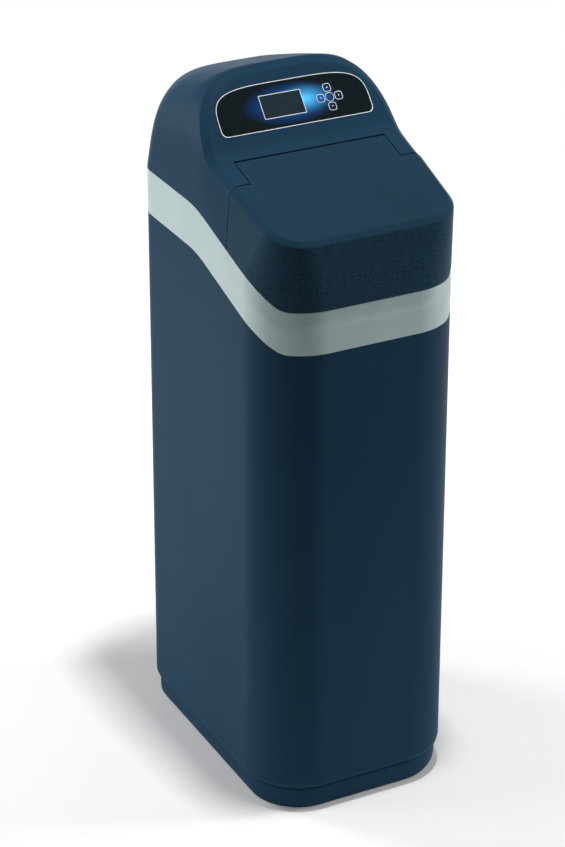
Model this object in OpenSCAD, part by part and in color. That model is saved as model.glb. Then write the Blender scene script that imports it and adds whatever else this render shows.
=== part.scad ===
// Cabinet water softener: a salt cabinet with a resin tank, a rotary control valve,
// a brine well and a hinged salt lid. Millimetres; the front faces -Y and the floor is Z = 0.

/* [Cabinet] */
// Width of the cabinet
body_w = 355; // [340:1:400]
// Depth of the cabinet
body_d = 490; // [480:1:540]
// Radius of the two front corners
corner_front = 98; // [80:1:105]
// Radius of the two rear corners
corner_rear = 50; // [40:1:60]
// How far each side draws in from front to rear
side_draw = 9; // [2:1:14]
// Wall of the cabinet
cabinet_wall = 3.5; // [3:0.1:4.5]
// Floor of the cabinet
floor_t = 5; // [4:0.5:8]
// Height of the plinth
plinth_h = 40; // [30:1:50]
// Inset of the plinth behind the walls
plinth_inset = 6; // [4:0.5:9]
// Height of the rounded foot under the plinth
foot_h = 8; // [5:1:12]
// Inset of the foot behind the plinth
foot_inset = 8; // [5:1:12]

/* [Rim] */
// Depth of the rim's top edge at the front below the hood's top
rim_front_drop = 289; // [281:1:306]
// Depth of the rim's top edge at the rear below the hood's top
rim_rear_drop = 196; // [186:1:206]
// Depth of the rim's top edge below the hood's top, at the bend behind the front corners
rim_knee_drop = 252; // [241:1:261]
// Distance of that bend behind the front face
rim_knee_back = 77; // [65:1:95]
// Distance behind the front face where the front edge runs level
rim_toe_back = 27; // [21:1:35]
// Distance behind the centre where the rear edge runs level
rim_flat_y = 25; // [10:1:40]
// Height of the rim band at the front
rim_h_front = 71; // [60:1:80]
// Height of the rim band at the sides and rear
rim_h_side = 76; // [65:1:85]
// Wall of the rim
rim_wall = 5.5; // [5:0.1:7]
// Thickness of the tongues that locate the cabinet and the hood
tongue_t = 2.5; // [2:0.1:4]
// Reach of the tongues past the rim
tongue_reach = 8; // [5:1:12]
// Play between a tongue and the wall around it
tongue_play = 0.8; // [0.4:0.1:1.2]

/* [Hood and lid] */
// Height of the top of the hood
hood_top = 1186; // [1175:1:1200]
// Wall of the hood and the lid
hood_wall = 3; // [2.5:0.1:3.5]
// Slope of the salt lid
lid_angle = 17; // [14:0.5:20]
// Slope of the control panel
panel_angle = 50; // [46:0.5:54]
// Depth below the hood's top where the lid plane and the panel plane would meet
swoop_drop = 106; // [100:1:114]
// Distance of that meeting line in front of the rear face
swoop_front = 263; // [259:1:267]
// Radius that blends the lid plane into the panel plane
swoop_r = 60; // [40:1:80]
// Roundness of the hood seen from the front
arch_power = 3.8; // [3:0.1:5]
// Depth below the hood's top where its sides begin to lean in
arch_drop = 201; // [186:1:216]
// Roundness of the hood seen from the side
back_power = 3.7; // [2.5:0.1:5]
// Depth below the hood's top where its back begins to lean in
back_drop = 221; // [201:1:236]
// Distance of the seam between lid and hood in front of that line
seam_lead = 69; // [62:1:77]
// Half width of the lid's hinge tab
tab_half_w = 133; // [125:1:140]
// Gap along the seams between lid, hood and rim
seam_gap = 1.2; // [0.8:0.1:2]
// Gap between the lid and the rim it rests on
seat_gap = 0.3; // [0.2:0.05:0.5]
// Radius of the hinge barrel on the lid
barrel_r = 3; // [2.8:0.1:3.4]
// Radius of a hinge pin
hinge_pin_r = 1.6; // [1.3:0.1:1.8]
// Length of a hinge pin inside the lid's barrel
hinge_pin_in = 14; // [10:1:24]
// Thickness of the hood's hinge cheeks
cheek_t = 6; // [4:0.5:7]
// Distance of the hinge in front of the swoop's meeting line
hinge_back = 18; // [17:0.5:24]

/* [Control panel] */
// Half width of the faceplate
plate_half_w = 135; // [130:0.5:138]
// Height of the faceplate up the slope
plate_h = 79; // [76:0.5:82]
// Distance of the faceplate's lower edge up the slope from the meeting line
plate_low = 29.7; // [27:0.1:31]
// Roundness of the faceplate's top
plate_power = 4.2; // [3:0.1:6]
// Radius of the faceplate's lower corners
plate_corner = 10; // [6:0.5:14]
// How far the faceplate stands out of the hood
plate_proud = 0.6; // [0.3:0.1:1]
// Thickness of the flange behind the faceplate
flange_t = 2; // [1.5:0.1:2.5]
// Overlap of that flange behind the hood
flange_lap = 5; // [3:0.5:6]
// Play around pieces set in the panel
panel_play = 0.2; // [0.15:0.01:0.3]
// Width of the display opening
display_w = 72; // [66:0.5:76]
// Height of the display opening
display_h = 38; // [34:0.5:42]
// Distance of the display's middle left of the centre line
display_x = 18; // [16:0.5:22]
// Distance of the display's middle up the faceplate
display_s = 38.4; // [36:0.1:40]
// Distance of the button cross right of the centre line
cross_x = 65.8; // [64:0.1:68]
// Distance of the button cross up the faceplate
cross_s = 37; // [35:0.1:39]
// Pitch of the button cross
cross_pitch = 16; // [15:0.1:18]
// Width of a direction button
key_w = 11; // [9:0.1:12]
// Corner radius of a direction button
key_corner = 2.6; // [1.5:0.1:4]
// Radius of the middle button
ok_r = 6.5; // [5:0.1:7]
// Travel of every button
key_travel = 1; // [0.6:0.1:1.2]
// Width of the flange behind each button
key_lip = 1; // [0.8:0.1:1.5]
// Thickness of the control board
board_t = 1.6; // [1.2:0.1:2.4]
// Width of the control board
board_w = 184; // [176:1:190]
// Height of the control board
board_h = 58; // [56:1:62]
// Depth of the display module behind the window
module_t = 6; // [5:0.5:8]
// Thread radius of the board screws
board_screw_r = 1.4; // [1.2:0.1:1.6]

/* [Resin tank] */
// Outer radius of the resin tank
tank_r = 103.5; // [95:0.5:106]
// Distance of the tank's axis in front of the cabinet's rear face
tank_front = 127; // [121:1:133]
// Height of the neck over the top of the tank's dome
neck_h = 23; // [21:1:53]
// Wall of the tank
tank_wall = 4; // [3:0.5:6]
// Height of the lower dome
dome_low = 70; // [60:1:80]
// Height of the upper dome
dome_top = 60; // [50:1:70]
// Height of the tank's lowest point over the cabinet floor
tank_lift = 7; // [5:0.5:10]
// Height of the boot under the tank
boot_h = 60; // [50:1:66]
// Outer radius of the tank's neck
neck_r = 44; // [42:0.5:46]
// Radius of the neck's flange
neck_flange_r = 52; // [50:0.5:54]
// Height of the neck flange and of the valve flange
neck_flange_h = 12; // [10:0.5:14]
// Depth of the neck's top face below the port axes
neck_drop = 91; // [86:1:98]
// Bore of the neck
neck_bore_r = 36; // [34:0.5:37]
// Outer radius of the riser tube
riser_r = 13; // [11:0.5:13.5]
// Wall of the riser tube
riser_wall = 2; // [1.5:0.1:3]
// Free height over the resin, up to the top of the dome
resin_free = 252; // [180:1:400]
// Section radius of the neck O-ring
oring_r = 1.6; // [1.3:0.1:1.9]
// Play between fitted pieces that don't move
fit_play = 0.2; // [0.1:0.05:0.3]

/* [Control valve] */
// Outer radius of the valve body
valve_r = 56; // [55:0.5:60]
// Depth of the port axes below the hood's top
port_drop = 170; // [166:0.5:172]
// Distance of each port from the centre line
port_x = 45; // [43:0.5:50]
// Outer radius of a port
port_r = 21; // [20:0.5:22]
// Socket radius of a port
socket_r = 16; // [15:0.1:17]
// Socket depth of a port
socket_l = 22; // [18:0.5:25]
// Radius of the water way in a port
way_r = 13; // [12:0.1:14]
// Distance of the port faces in front of the cabinet's rear face
port_recess = 7; // [6.5:0.5:12]
// Radius of the rotor chamber
chamber_r = 47; // [46:0.1:48]
// Height of the rotor chamber
chamber_h = 24; // [23:0.5:28]
// Thickness of the rotor seal
rotor_seal_t = 3; // [2.5:0.1:4]
// Thickness of the rotor disc
disc_t = 16; // [14:0.5:16.5]
// Radius of the rotor shaft
rotor_shaft_r = 8; // [7:0.1:9]
// Radial running play of shafts
run_play = 0.06; // [0.03:0.01:0.1]
// Axial and radial clearance around what turns or slides
run_gap = 0.3; // [0.25:0.05:0.4]
// Thickness of the valve cover
valve_cover_t = 8; // [6:0.5:10]
// Module of the drive gears
gear_module = 2; // [1.9:0.05:2.1]
// Teeth of the cam gear
cam_teeth = 40; // [38:1:42]
// Teeth of the motor pinion
pinion_teeth = 12; // [12:1:14]
// Thickness of the drive gears
gear_t = 8; // [6:0.5:9]
// Direction of the pinion seen from the cam gear
pinion_dir = 220; // [215:1:225]
// Gap between tooth flanks
backlash = 0.35; // [0.25:0.05:0.5]
// Height of the cam on the gear
cam_h = 5; // [4:0.5:6]
// Radius of the cam
cam_r = 24; // [22:0.5:25]
// Height of the motor plate's pillars
pillar_h = 18; // [17:0.5:21]
// Thickness of the motor plate
motor_plate_t = 3; // [2:0.5:4]
// Radius of the drive motor
motor_r = 24; // [22:0.5:25]
// Height of the drive motor
motor_h = 30; // [26:1:34]
// Radius of the pinion's shaft
pinion_shaft_r = 3; // [2.5:0.1:3.5]
// Thread radius of the valve's screws
valve_screw_r = 2.2; // [2:0.1:2.4]
// Distance of the valve cover screws from the rotor axis
valve_screw_pcr = 51.5; // [51:0.1:52]
// Radius of the turbine
turbine_r = 12.2; // [11:0.1:12.4]
// Length of the turbine
turbine_l = 12; // [10:0.5:14]
// Radius of the turbine's shaft
turbine_shaft_r = 1.5; // [1.2:0.1:1.8]

/* [Brine system] */
// Distance of the brine well right of the centre
brine_x = 100; // [96:0.5:104]
// Distance of the brine well in front of the centre
brine_y = 85; // [80:1:90]
// Outer radius of the brine well
well_r = 40; // [36:0.5:42]
// Wall of the brine well
well_wall = 2.5; // [2:0.1:3]
// Depth of the brine well's top below the tube's upper bend
well_drop = 50; // [44:1:80]
// How far the brine well's cap stands out past the well's tube
cap_lap = 3; // [2.5:0.5:4]
// Lift of the cap before the tubing's bend stops it
cap_lift = 20; // [10:1:22]
// Distance of the injector's axis in front of the tank's axis
injector_front = 18; // [14:0.5:20]
// Outer radius of the injector housing
injector_r = 18; // [17:0.5:19]
// Outer radius of the brine tube
tube_r = 5.5; // [5:0.1:5.8]
// Bore radius of the brine tube
tube_bore = 3.8; // [3.4:0.1:4]
// Bend radius of the brine tube
tube_bend = 25; // [22:1:28]
// Radius of the brine riser pipe
brine_riser_r = 6.5; // [6.2:0.1:7]
// Radius of the brine float
float_r = 28; // [24:0.5:30]
// Height of the brine float
float_h = 42; // [36:1:50]
// Rise of the brine float
float_rise = 120; // [80:1:140]
// Radius of the brine valve body
brine_valve_r = 20; // [18:0.5:22]
// Height of the top of the brine valve body
brine_valve_top = 95; // [90:1:110]

/* [Rear fittings] */
// Distance of the overflow left of the centre
overflow_x = 95; // [88:1:100]
// Depth of the overflow below the rim's rear edge
overflow_drop = 190; // [170:1:210]
// Pipe radius of the overflow
overflow_r = 8; // [7:0.1:9]
// Hose spigot radius of the drain and the overflow
spigot_r = 6.5; // [6:0.1:7]
// Hose spigot length of the drain and the overflow
spigot_l = 22; // [18:1:24]
// Distance of the cable gland right of the centre
gland_x = 95; // [88:1:100]
// Bore radius of the cable gland
gland_r = 3.5; // [2.5:0.1:4]

/* [Hidden] */
$fn = 64;
eps = 0.01;

// Heights that follow the top of the hood, and depths that follow the front and the rear face
rim_front_z = hood_top - rim_front_drop;
rim_rear_z = hood_top - rim_rear_drop;
rim_knee_z = hood_top - rim_knee_drop;
swoop_z = hood_top - swoop_drop;
arch_z = hood_top - arch_drop;
back_z = hood_top - back_drop;
port_z = hood_top - port_drop;
neck_top = port_z - neck_drop;
overflow_z = rim_rear_z - overflow_drop;
rim_knee_y = body_d/2 - rim_knee_back;
rim_toe_y = body_d/2 - rim_toe_back;
tank_y = body_d/2 - tank_front;
swoop_y = swoop_front - body_d/2;
seam_y = swoop_y + seam_lead;
injector_y = tank_y - injector_front;
low_z = rim_front_z - 120;
high_z = hood_top + 60;

// Plan outline: four corner circles and the tangents that join them
front_c = [body_w/2 - corner_front, -body_d/2 + corner_front];
rear_c = [body_w/2 - side_draw - corner_rear, body_d/2 - corner_rear];
side_run = rear_c - front_c;
side_dir = atan2(side_run[1], side_run[0]) - acos((corner_front - corner_rear)/norm(side_run));
side_n = [cos(side_dir), sin(side_dir)];

// Hood section in Y and Z
swoop = [-swoop_y, swoop_z];
lid_n = [-sin(lid_angle), cos(lid_angle)];
panel_n = [-sin(panel_angle), cos(panel_angle)];
lid_u = [cos(lid_angle), sin(lid_angle)];
panel_u = [cos(panel_angle), sin(panel_angle)];
crest_y = -swoop_y + (hood_top - swoop_z)/tan(panel_angle);

// Hinge axis of the lid, under the rear edge of its tab
hinge = swoop - hinge_back*lid_u - barrel_r*lid_n;
relief_r = barrel_r + seam_gap/2;
tab_w = tab_half_w - seam_gap/2;
cheek_x = tab_half_w + seam_gap/2;

// Panel stack, as depths along the panel's normal
plate_back = -hood_wall;
flange_top = plate_back - panel_play;
flange_back = flange_top - flange_t;
lens_top = flange_back - panel_play;
lens_back = lens_top - flange_t;
module_top = lens_back - panel_play;
board_top = module_top - module_t - panel_play;
board_back = board_top - board_t;
key_lip_top = flange_back - panel_play/2;
key_lip_back = key_lip_top - key_lip;
key_foot = key_lip_back - 2;
switch_top = key_foot - key_travel - panel_play;
board_s = plate_low + display_s;
boss_dx = board_w/2 - 7;
module_w = display_w + 14;
module_play = 10;
board_x = boss_dx - display_x - module_w/2 - module_play;
boss_ds = board_h/2 - 6;
boss_r = 4;

// Valve stack, as heights
tank_low = floor_t + tank_lift;
tank_top = neck_top - neck_h;
resin_top = tank_top - resin_free;
valve_flange_top = neck_top + neck_flange_h;
body_low = valve_flange_top + 13;
chamber_floor = port_z + way_r + 7;
valve_top = chamber_floor + chamber_h;
seal_top = chamber_floor + rotor_seal_t;
disc_low = seal_top + run_gap/2;
disc_top = disc_low + disc_t;
cover_top = valve_top + valve_cover_t;
gear_low = cover_top + 2;
gear_top = gear_low + gear_t;
cam_top = gear_top + cam_h;
plate_low_z = cover_top + pillar_h;
plate_top_z = plate_low_z + motor_plate_t;
motor_top = plate_top_z + motor_h;
port_end = body_d/2 - port_recess;
socket_end = port_end - socket_l;
cam_rp = gear_module*cam_teeth/2;
pinion_rp = gear_module*pinion_teeth/2;
pinion_at = [(cam_rp + pinion_rp)*cos(pinion_dir), tank_y + (cam_rp + pinion_rp)*sin(pinion_dir)];
pillar_dirs = [30, 120, 320];
cover_screw_dirs = [0, 75, 160, 190, 250, 285];
turbine_end = socket_end - 12;
turbine_low = turbine_end - 4 - turbine_l;

// Brine stack, as heights
injector_low = port_z - 16;
injector_top = port_z + 20;
nipple_low = injector_low - 15;
tube_run_z = nipple_low - tube_bend - 10;
drop_y = -brine_y;
riser_end = tube_run_z - tube_bend;
well_top = riser_end - well_drop;
well_h = well_top - floor_t;
float_low = brine_valve_top + run_gap;
float_stop_z = float_low + float_h + float_rise + run_gap;
screen_h = 8;
drain_z = port_z;

// Point at a polar angle
function polar(r, a) = r*[cos(a), sin(a)];
function unit(v) = v/norm(v);
function mirrored(pts) = [for (i = [len(pts) - 1:-1:0]) [-pts[i][0], pts[i][1]]];

// Arc of radius r that rounds the corner b of the path a, b, c
function bend(a, b, c, r, k = 5) =
    let (u = unit(a - b), v = unit(c - b), half = acos(u*v)/2)
    let (o = b + unit(u + v)*r/sin(half), p = b + u*r/tan(half) - o, q = b + v*r/tan(half) - o)
    let (s = atan2(p[1], p[0]), turn = (atan2(q[1], q[0]) - s + 540)%360 - 180)
    [for (i = [0:k]) o + polar(r, s + turn*i/k)];

// Quarter of a superellipse from [a, 0] up to [0, b]
function quarter(a, b, power, k = 10) =
    [for (i = [0:k]) [a*pow(cos(90*i/k), 2/power), b*pow(sin(90*i/k), 2/power)]];

// Cabinet outline, drawn in by inset
module plan(inset = 0) {
    rf = corner_front - inset;
    rr = corner_rear - inset;
    right = [front_c + [0, -rf], front_c + rf*side_n, rear_c + rr*side_n, rear_c + [0, rr]];
    polygon(concat(right, mirrored(right)));
    for (s = [-1, 1]) {
        translate([s*front_c[0], front_c[1]]) circle(rf);
        translate([s*rear_c[0], rear_c[1]]) circle(rr);
    }
}

module ring(outer, inner, z0, z1) {
    translate([0, 0, z0]) linear_extrude(z1 - z0) difference() {
        plan(outer);
        plan(inner);
    }
}

// Prism along X from a section drawn in Y and Z
module along_x(half) {
    rotate([90, 0, 90]) translate([0, 0, -half]) linear_extrude(2*half) children();
}

// Rim edge line seen from the side: level front, steep knee, long slope, level rear
function rim_line(front_dz, side_dz) =
    let (f = rim_front_z + front_dz, k = rim_knee_z + side_dz, r = rim_rear_z + side_dz)
    let (a = [-body_d, f], b = [-rim_toe_y, f], c = [-rim_knee_y, k], d = [rim_flat_y, r], e = [body_d, r])
    concat([a], bend(a, b, c, 30), bend(b, c, d, 60), bend(c, d, e, 80), [e]);

function flipped(pts) = [for (i = [len(pts) - 1:-1:0]) pts[i]];

module above_line(front_dz, side_dz) {
    along_x(body_w) polygon(concat(rim_line(front_dz, side_dz), [[body_d, high_z], [-body_d, high_z]]));
}

module between_lines(low, high) {
    along_x(body_w) polygon(concat(rim_line(low[0], low[1]), flipped(rim_line(high[0], high[1]))));
}

rim_bottom = [-rim_h_front, -rim_h_side];
rim_edge = [0, 0];
function shift_line(line, dz) = [line[0] + dz, line[1] + dz];

// Hood section seen from the side, drawn in by inset
module hood_side(inset) {
    corner = swoop - inset*(lid_n + panel_n)/(1 + lid_n*panel_n);
    top = hood_top - inset;
    peak = corner + panel_u*(top - corner[1])/panel_u[1];
    nose = corner - lid_u*(body_d/2 + 4 - swoop_y)/lid_u[0];
    back = quarter(body_d/2 + 1 - inset - peak[0], top - back_z, back_power);
    polygon(concat([[nose[0], low_z], nose], bend(nose, corner, peak, swoop_r + inset),
        [peak], flipped([for (p = back) [peak[0] + p[0], back_z + p[1]]]),
        [[body_d/2 + 1 - inset, low_z]]));
}

// Hood arch seen from the front, drawn in by inset
module hood_arch(inset) {
    half = body_w/2 + 0.6 - inset;
    right = concat([[half, low_z]],
        [for (p = quarter(half, hood_top + 0.4 - inset - arch_z, arch_power)) [p[0], arch_z + p[1]]]);
    polygon(concat(right, mirrored(right)));
}

module hood_form(inset = 0) {
    intersection() {
        translate([0, 0, low_z]) linear_extrude(high_z - low_z) plan(inset);
        along_x(body_w) hood_side(inset);
        translate([0, body_d, 0]) rotate([90, 0, 0]) linear_extrude(2*body_d) hood_arch(inset);
    }
}

module hood_shell() {
    difference() {
        hood_form();
        hood_form(hood_wall);
    }
}

// Part of the hood that belongs to the lid, grown by e, with its tab drawn out behind the hinge
module lid_zone(e, behind) {
    translate([0, 0, low_z]) linear_extrude(high_z - low_z) {
        translate([-body_w, -body_d]) square([2*body_w, body_d - seam_y + e]);
        translate([-tab_half_w - e, -body_d]) square([2*(tab_half_w + e), body_d + hinge[0] + behind]);
    }
}

module at_hinge(x0, x1, r) {
    translate([x0, hinge[0], hinge[1]]) rotate([0, 90, 0]) cylinder(r = r, h = x1 - x0);
}

// Panel frame: x across, y up the slope, z out of the panel
module on_panel() {
    translate([0, swoop[0], swoop[1]]) rotate([panel_angle, 0, 0]) children();
}

module slab(z0, z1) {
    translate([0, 0, z0]) linear_extrude(z1 - z0) children();
}

module rounded(w, h, r) {
    square([w - 2*r, h], center = true);
    square([w, h - 2*r], center = true);
    for (x = [-1, 1], y = [-1, 1]) translate([x*(w/2 - r), y*(h/2 - r)]) circle(r);
}

// Faceplate outline: rounded lower corners and a superellipse arch, grown by e
module plate_outline(e = 0) {
    half = plate_half_w + e;
    low = [half - plate_corner, plate_low - e + plate_corner];
    foot = [for (i = [0:6]) low + polar(plate_corner, -90 + 15*i)];
    arch = [for (p = quarter(half, plate_low + plate_h + e - low[1], plate_power, 12))
        [p[0], low[1] + p[1]]];
    right = concat(foot, [for (i = [1:12]) arch[i]]);
    polygon(concat(right, mirrored(right)));
}

module at_display() {
    translate([-display_x, plate_low + display_s]) children();
}

// Middle of one key of the cross, by its step along x and up the slope
module at_key(dx, ds) {
    translate([cross_x + dx*cross_pitch, plate_low + cross_s + ds*cross_pitch]) children();
}

module key_shape(dx, ds, e = 0) {
    if (dx == 0 && ds == 0) circle(ok_r + e);
    else rounded(key_w + 2*e, key_w + 2*e, key_corner + e);
}

module at_bosses() {
    for (x = [-1, 1], y = [-1, 1]) translate([board_x + x*boss_dx, board_s + y*boss_ds]) children();
}

key_steps = [[0, 1], [0, -1], [-1, 0], [1, 0], [0, 0]];

module cabinet() {
    color([0.15, 0.24, 0.31]) difference() {
        union() {
            intersection() {
                slab(plinth_h, high_z) plan();
                along_x(body_w) polygon(concat([[-body_d, 0]], rim_line(rim_bottom[0], rim_bottom[1]),
                    [[body_d, 0]]));
            }
            slab(foot_h, plinth_h + eps) plan(plinth_inset);
            slab(0, foot_h + eps) plan(plinth_inset + foot_inset);
        }
        slab(floor_t, plinth_h + 4) plan(plinth_inset + foot_inset + cabinet_wall);
        slab(plinth_h + 4 - eps, high_z) plan(cabinet_wall);
        translate([-overflow_x, body_d/2 - 20, overflow_z]) rotate([-90, 0, 0])
            cylinder(r = overflow_r + 3, h = 40);
    }
}

module rim() {
    tongue = cabinet_wall + tongue_play;
    hood_tongue = hood_wall + tongue_play;
    color([0.72, 0.77, 0.77]) difference() {
        union() {
            intersection() {
                ring(0, rim_wall, low_z, high_z);
                between_lines(rim_bottom, rim_edge);
            }
            intersection() {
                ring(tongue, tongue + tongue_t, low_z - 100, high_z);
                between_lines(shift_line(rim_bottom, -tongue_reach), shift_line(rim_bottom, 8));
            }
            intersection() {
                ring(hood_tongue, hood_tongue + tongue_t, low_z, high_z);
                between_lines(shift_line(rim_edge, -8), shift_line(rim_edge, tongue_reach));
            }
        }
        port_notch();
        translate([gland_x, body_d/2 - 20, rim_rear_z - rim_h_side/2]) rotate([-90, 0, 0])
            cylinder(r = gland_r + 3, h = 40);
    }
}

// Space left open at the rear for the two ports and the drain
module port_notch() {
    half = port_x + port_r + 5;
    translate([-half, body_d/2 - 40, rim_rear_z]) cube([2*half, 80, port_z + port_r + 5 - rim_rear_z]);
}

module top_cover() {
    color([0.2, 0.31, 0.4]) difference() {
        union() {
            difference() {
                intersection() {
                    hood_shell();
                    above_line(seat_gap, seat_gap);
                }
                lid_zone(seam_gap/2, barrel_r + seat_gap);
            }
            intersection() {
                hood_form(hood_wall/2);
                for (s = [-1, 1]) translate([s*(cheek_x + cheek_t/2) - cheek_t/2, hinge[0] - 9,
                    hinge[1] - 9]) cube([cheek_t, 30, 60]);
            }
        }
        at_hinge(-cheek_x, cheek_x, relief_r);
        at_hinge(-cheek_x - cheek_t - 1, cheek_x + cheek_t + 1, hinge_pin_r + fit_play/4);
        on_panel() slab(-hood_wall - 1, 20) plate_outline(panel_play);
        port_notch();
    }
}

module salt_lid() {
    color([0.17, 0.27, 0.35]) difference() {
        union() {
            intersection() {
                hood_shell();
                lid_zone(-seam_gap/2, 0);
                above_line(seat_gap, seat_gap);
            }
            at_hinge(-tab_w, tab_w, barrel_r);
        }
        at_hinge(-tab_w - 1, -tab_w + hinge_pin_in + 1, hinge_pin_r + run_play);
        at_hinge(tab_w - hinge_pin_in - 1, tab_w + 1, hinge_pin_r + run_play);
    }
}

module hinge_pins() {
    inner = tab_w - hinge_pin_in;
    outer = cheek_x + cheek_t;
    color("silver") for (x = [-outer, inner]) at_hinge(x, x + outer - inner, hinge_pin_r);
}

module faceplate() {
    color([0.06, 0.1, 0.13]) on_panel() difference() {
        union() {
            slab(flange_back, plate_proud) plate_outline();
            slab(flange_back, flange_top) plate_outline(flange_lap);
            slab(board_top, flange_back + eps) at_bosses() circle(boss_r);
        }
        slab(flange_back - 1, plate_proud + 1) at_display() square([display_w, display_h], center = true);
        for (k = key_steps) slab(flange_back - 1, plate_proud + 1) at_key(k[0], k[1])
            key_shape(k[0], k[1], panel_play);
        slab(board_top - 1, flange_back - 1) at_bosses() circle(board_screw_r + fit_play/4);
    }
}

module display_window() {
    color([0.11, 0.16, 0.19]) on_panel() {
        slab(lens_top - eps, plate_proud - 0.2) at_display()
            square([display_w - 2*panel_play, display_h - 2*panel_play], center = true);
        slab(lens_back, lens_top) at_display() square([display_w + 8, display_h + 8], center = true);
    }
}

module display_module() {
    color([0.25, 0.3, 0.28]) on_panel() slab(module_top - module_t, module_top) at_display()
        square([module_w, display_h + 12], center = true);
}

module control_board() {
    color([0.05, 0.3, 0.16]) on_panel() slab(board_back, board_top) difference() {
        translate([board_x, board_s]) square([board_w, board_h], center = true);
        at_bosses() circle(board_screw_r + fit_play);
    }
}

module board_screws() {
    color("silver") on_panel() {
        slab(board_back - 2, board_back) at_bosses() circle(2*board_screw_r);
        slab(board_back - eps, board_top + 5) at_bosses() circle(board_screw_r);
    }
}

module tact_switches() {
    color([0.15, 0.15, 0.15]) on_panel() for (k = key_steps) {
        slab(board_top, switch_top - 0.6) at_key(k[0], k[1]) square(6, center = true);
        slab(switch_top - 0.6 - eps, switch_top) at_key(k[0], k[1]) circle(1.7);
    }
}

// One push button: cap, retaining lip and foot
module push_button(dx, ds) {
    color([0.1, 0.18, 0.26]) on_panel() {
        slab(key_lip_top - eps, plate_proud + key_travel) at_key(dx, ds) key_shape(dx, ds);
        slab(key_lip_back, key_lip_top) at_key(dx, ds) key_shape(dx, ds, key_lip);
        slab(key_foot, key_lip_back + eps) at_key(dx, ds) circle(2.5);
    }
}

module button_up() { push_button(0, 1); }
module button_down() { push_button(0, -1); }
module button_left() { push_button(-1, 0); }
module button_right() { push_button(1, 0); }
module button_ok() { push_button(0, 0); }

// Point on the path from b towards a where a bend of radius big at b ends
function bend_end(a, b, c, big) = b + unit(a - b)*big/tan(acos(unit(a - b)*unit(c - b))/2);

// Round cable that bends from the path a, b into the path b, c
module cable_bend(a, b, c, big, r) {
    turn = 180 - acos(unit(a - b)*unit(c - b));
    o = b + unit(unit(a - b) + unit(c - b))*big/cos(turn/2);
    ex = unit(bend_end(a, b, c, big) - o);
    ez = unit(cross(ex, bend_end(c, b, a, big) - o));
    ey = cross(ez, ex);
    translate(o) rotate([atan2(ey[2], ez[2]), -asin(ex[2]), atan2(ex[1], ex[0])])
        rotate_extrude(angle = turn) translate([big, 0]) circle(r);
}

// Straight runs of a cable between points, each reaching 1 mm into the thicker bend at an inner point
module cable_run(pts, big, r) {
    last = len(pts) - 1;
    for (i = [0:last - 1]) {
        p = i == 0 ? pts[0] : bend_end(pts[i + 1], pts[i], pts[i - 1], big);
        q = i == last - 1 ? pts[last] : bend_end(pts[i], pts[i + 1], pts[i + 2], big);
        d = unit(q - p);
        low = i == 0 ? 0 : 1;
        high = i == last - 1 ? 0 : 1;
        translate(p - d*low) rotate([0, acos(d[2]), atan2(d[1], d[0])])
            cylinder(r = r, h = norm(q - p) + low + high);
        if (i > 0) cable_bend(pts[i - 1], pts[i], pts[i + 1], big, r + 0.4);
    }
}

module wiring_harness() {
    back = swoop + board_s*panel_u + (board_back - panel_play)*panel_n;
    away = back - 9*panel_n;
    motor_side = [pinion_at[0], pinion_at[1] - motor_r - fit_play];
    route = [[board_x, back[0], back[1]], [board_x, away[0], away[1]],
        [pinion_at[0], motor_side[1] - 12, motor_top - 10], [motor_side[0], motor_side[1], motor_top - 10]];
    color([0.12, 0.12, 0.12]) cable_run(route, 6, 2.5);
}

// Tank profile from pole to neck, drawn in by inset
module tank_form(inset) {
    r = tank_r - inset;
    n = neck_bore_r;
    stop = acos(n/r);
    rotate_extrude() polygon(concat([[0, tank_low + inset]],
        [for (i = [1:9]) [r*sin(10*i), tank_low + inset + (dome_low - inset)*(1 - cos(10*i))]],
        [for (i = [0:8]) [r*cos(stop*i/8), tank_top - dome_top + (dome_top - inset)*sin(stop*i/8)]],
        [[0, tank_top - dome_top + (dome_top - inset)*sin(stop)]]));
}

module at_tank() {
    translate([0, tank_y, 0]) children();
}

module resin_tank() {
    color([0.12, 0.2, 0.3]) at_tank() difference() {
        union() {
            tank_form(0);
            translate([0, 0, tank_top - dome_top]) cylinder(r = neck_r, h = neck_top - tank_top + dome_top);
            translate([0, 0, neck_top - neck_flange_h]) cylinder(r = neck_flange_r, h = neck_flange_h);
        }
        tank_form(tank_wall);
        translate([0, 0, tank_top - dome_top]) cylinder(r = neck_bore_r, h = 200);
        translate([0, 0, neck_top - 2*oring_r + fit_play]) difference() {
            cylinder(r = neck_bore_r + 4 + 2*oring_r + fit_play, h = 10);
            cylinder(r = neck_bore_r + 4 - fit_play, h = 10);
        }
    }
}

module neck_o_ring() {
    color([0.1, 0.1, 0.1]) at_tank() translate([0, 0, neck_top - oring_r + fit_play/2])
        rotate_extrude() translate([neck_bore_r + 4 + oring_r, 0]) circle(oring_r - fit_play/2);
}

module tank_boot() {
    color([0.08, 0.08, 0.08]) at_tank() difference() {
        translate([0, 0, floor_t]) cylinder(r = tank_r + 4, h = boot_h);
        tank_form(-fit_play);
        translate([0, 0, floor_t - 1]) cylinder(r = tank_r - 50, h = boot_h);
    }
}

module resin_bed() {
    color([0.75, 0.5, 0.2]) at_tank() translate([0, 0, tank_low + dome_low + 6]) difference() {
        cylinder(r = tank_r - tank_wall - fit_play, h = resin_top - tank_low - dome_low - 6);
        translate([0, 0, -1]) cylinder(r = riser_r + fit_play, h = resin_top - tank_low);
    }
}

distributor_low = tank_low + tank_wall + 6;

module riser_tube() {
    color([0.85, 0.85, 0.82]) at_tank() translate([0, 0, distributor_low + 20]) difference() {
        cylinder(r = riser_r, h = body_low - distributor_low - 20);
        translate([0, 0, -1]) cylinder(r = riser_r - riser_wall, h = body_low - distributor_low);
    }
}

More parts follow.
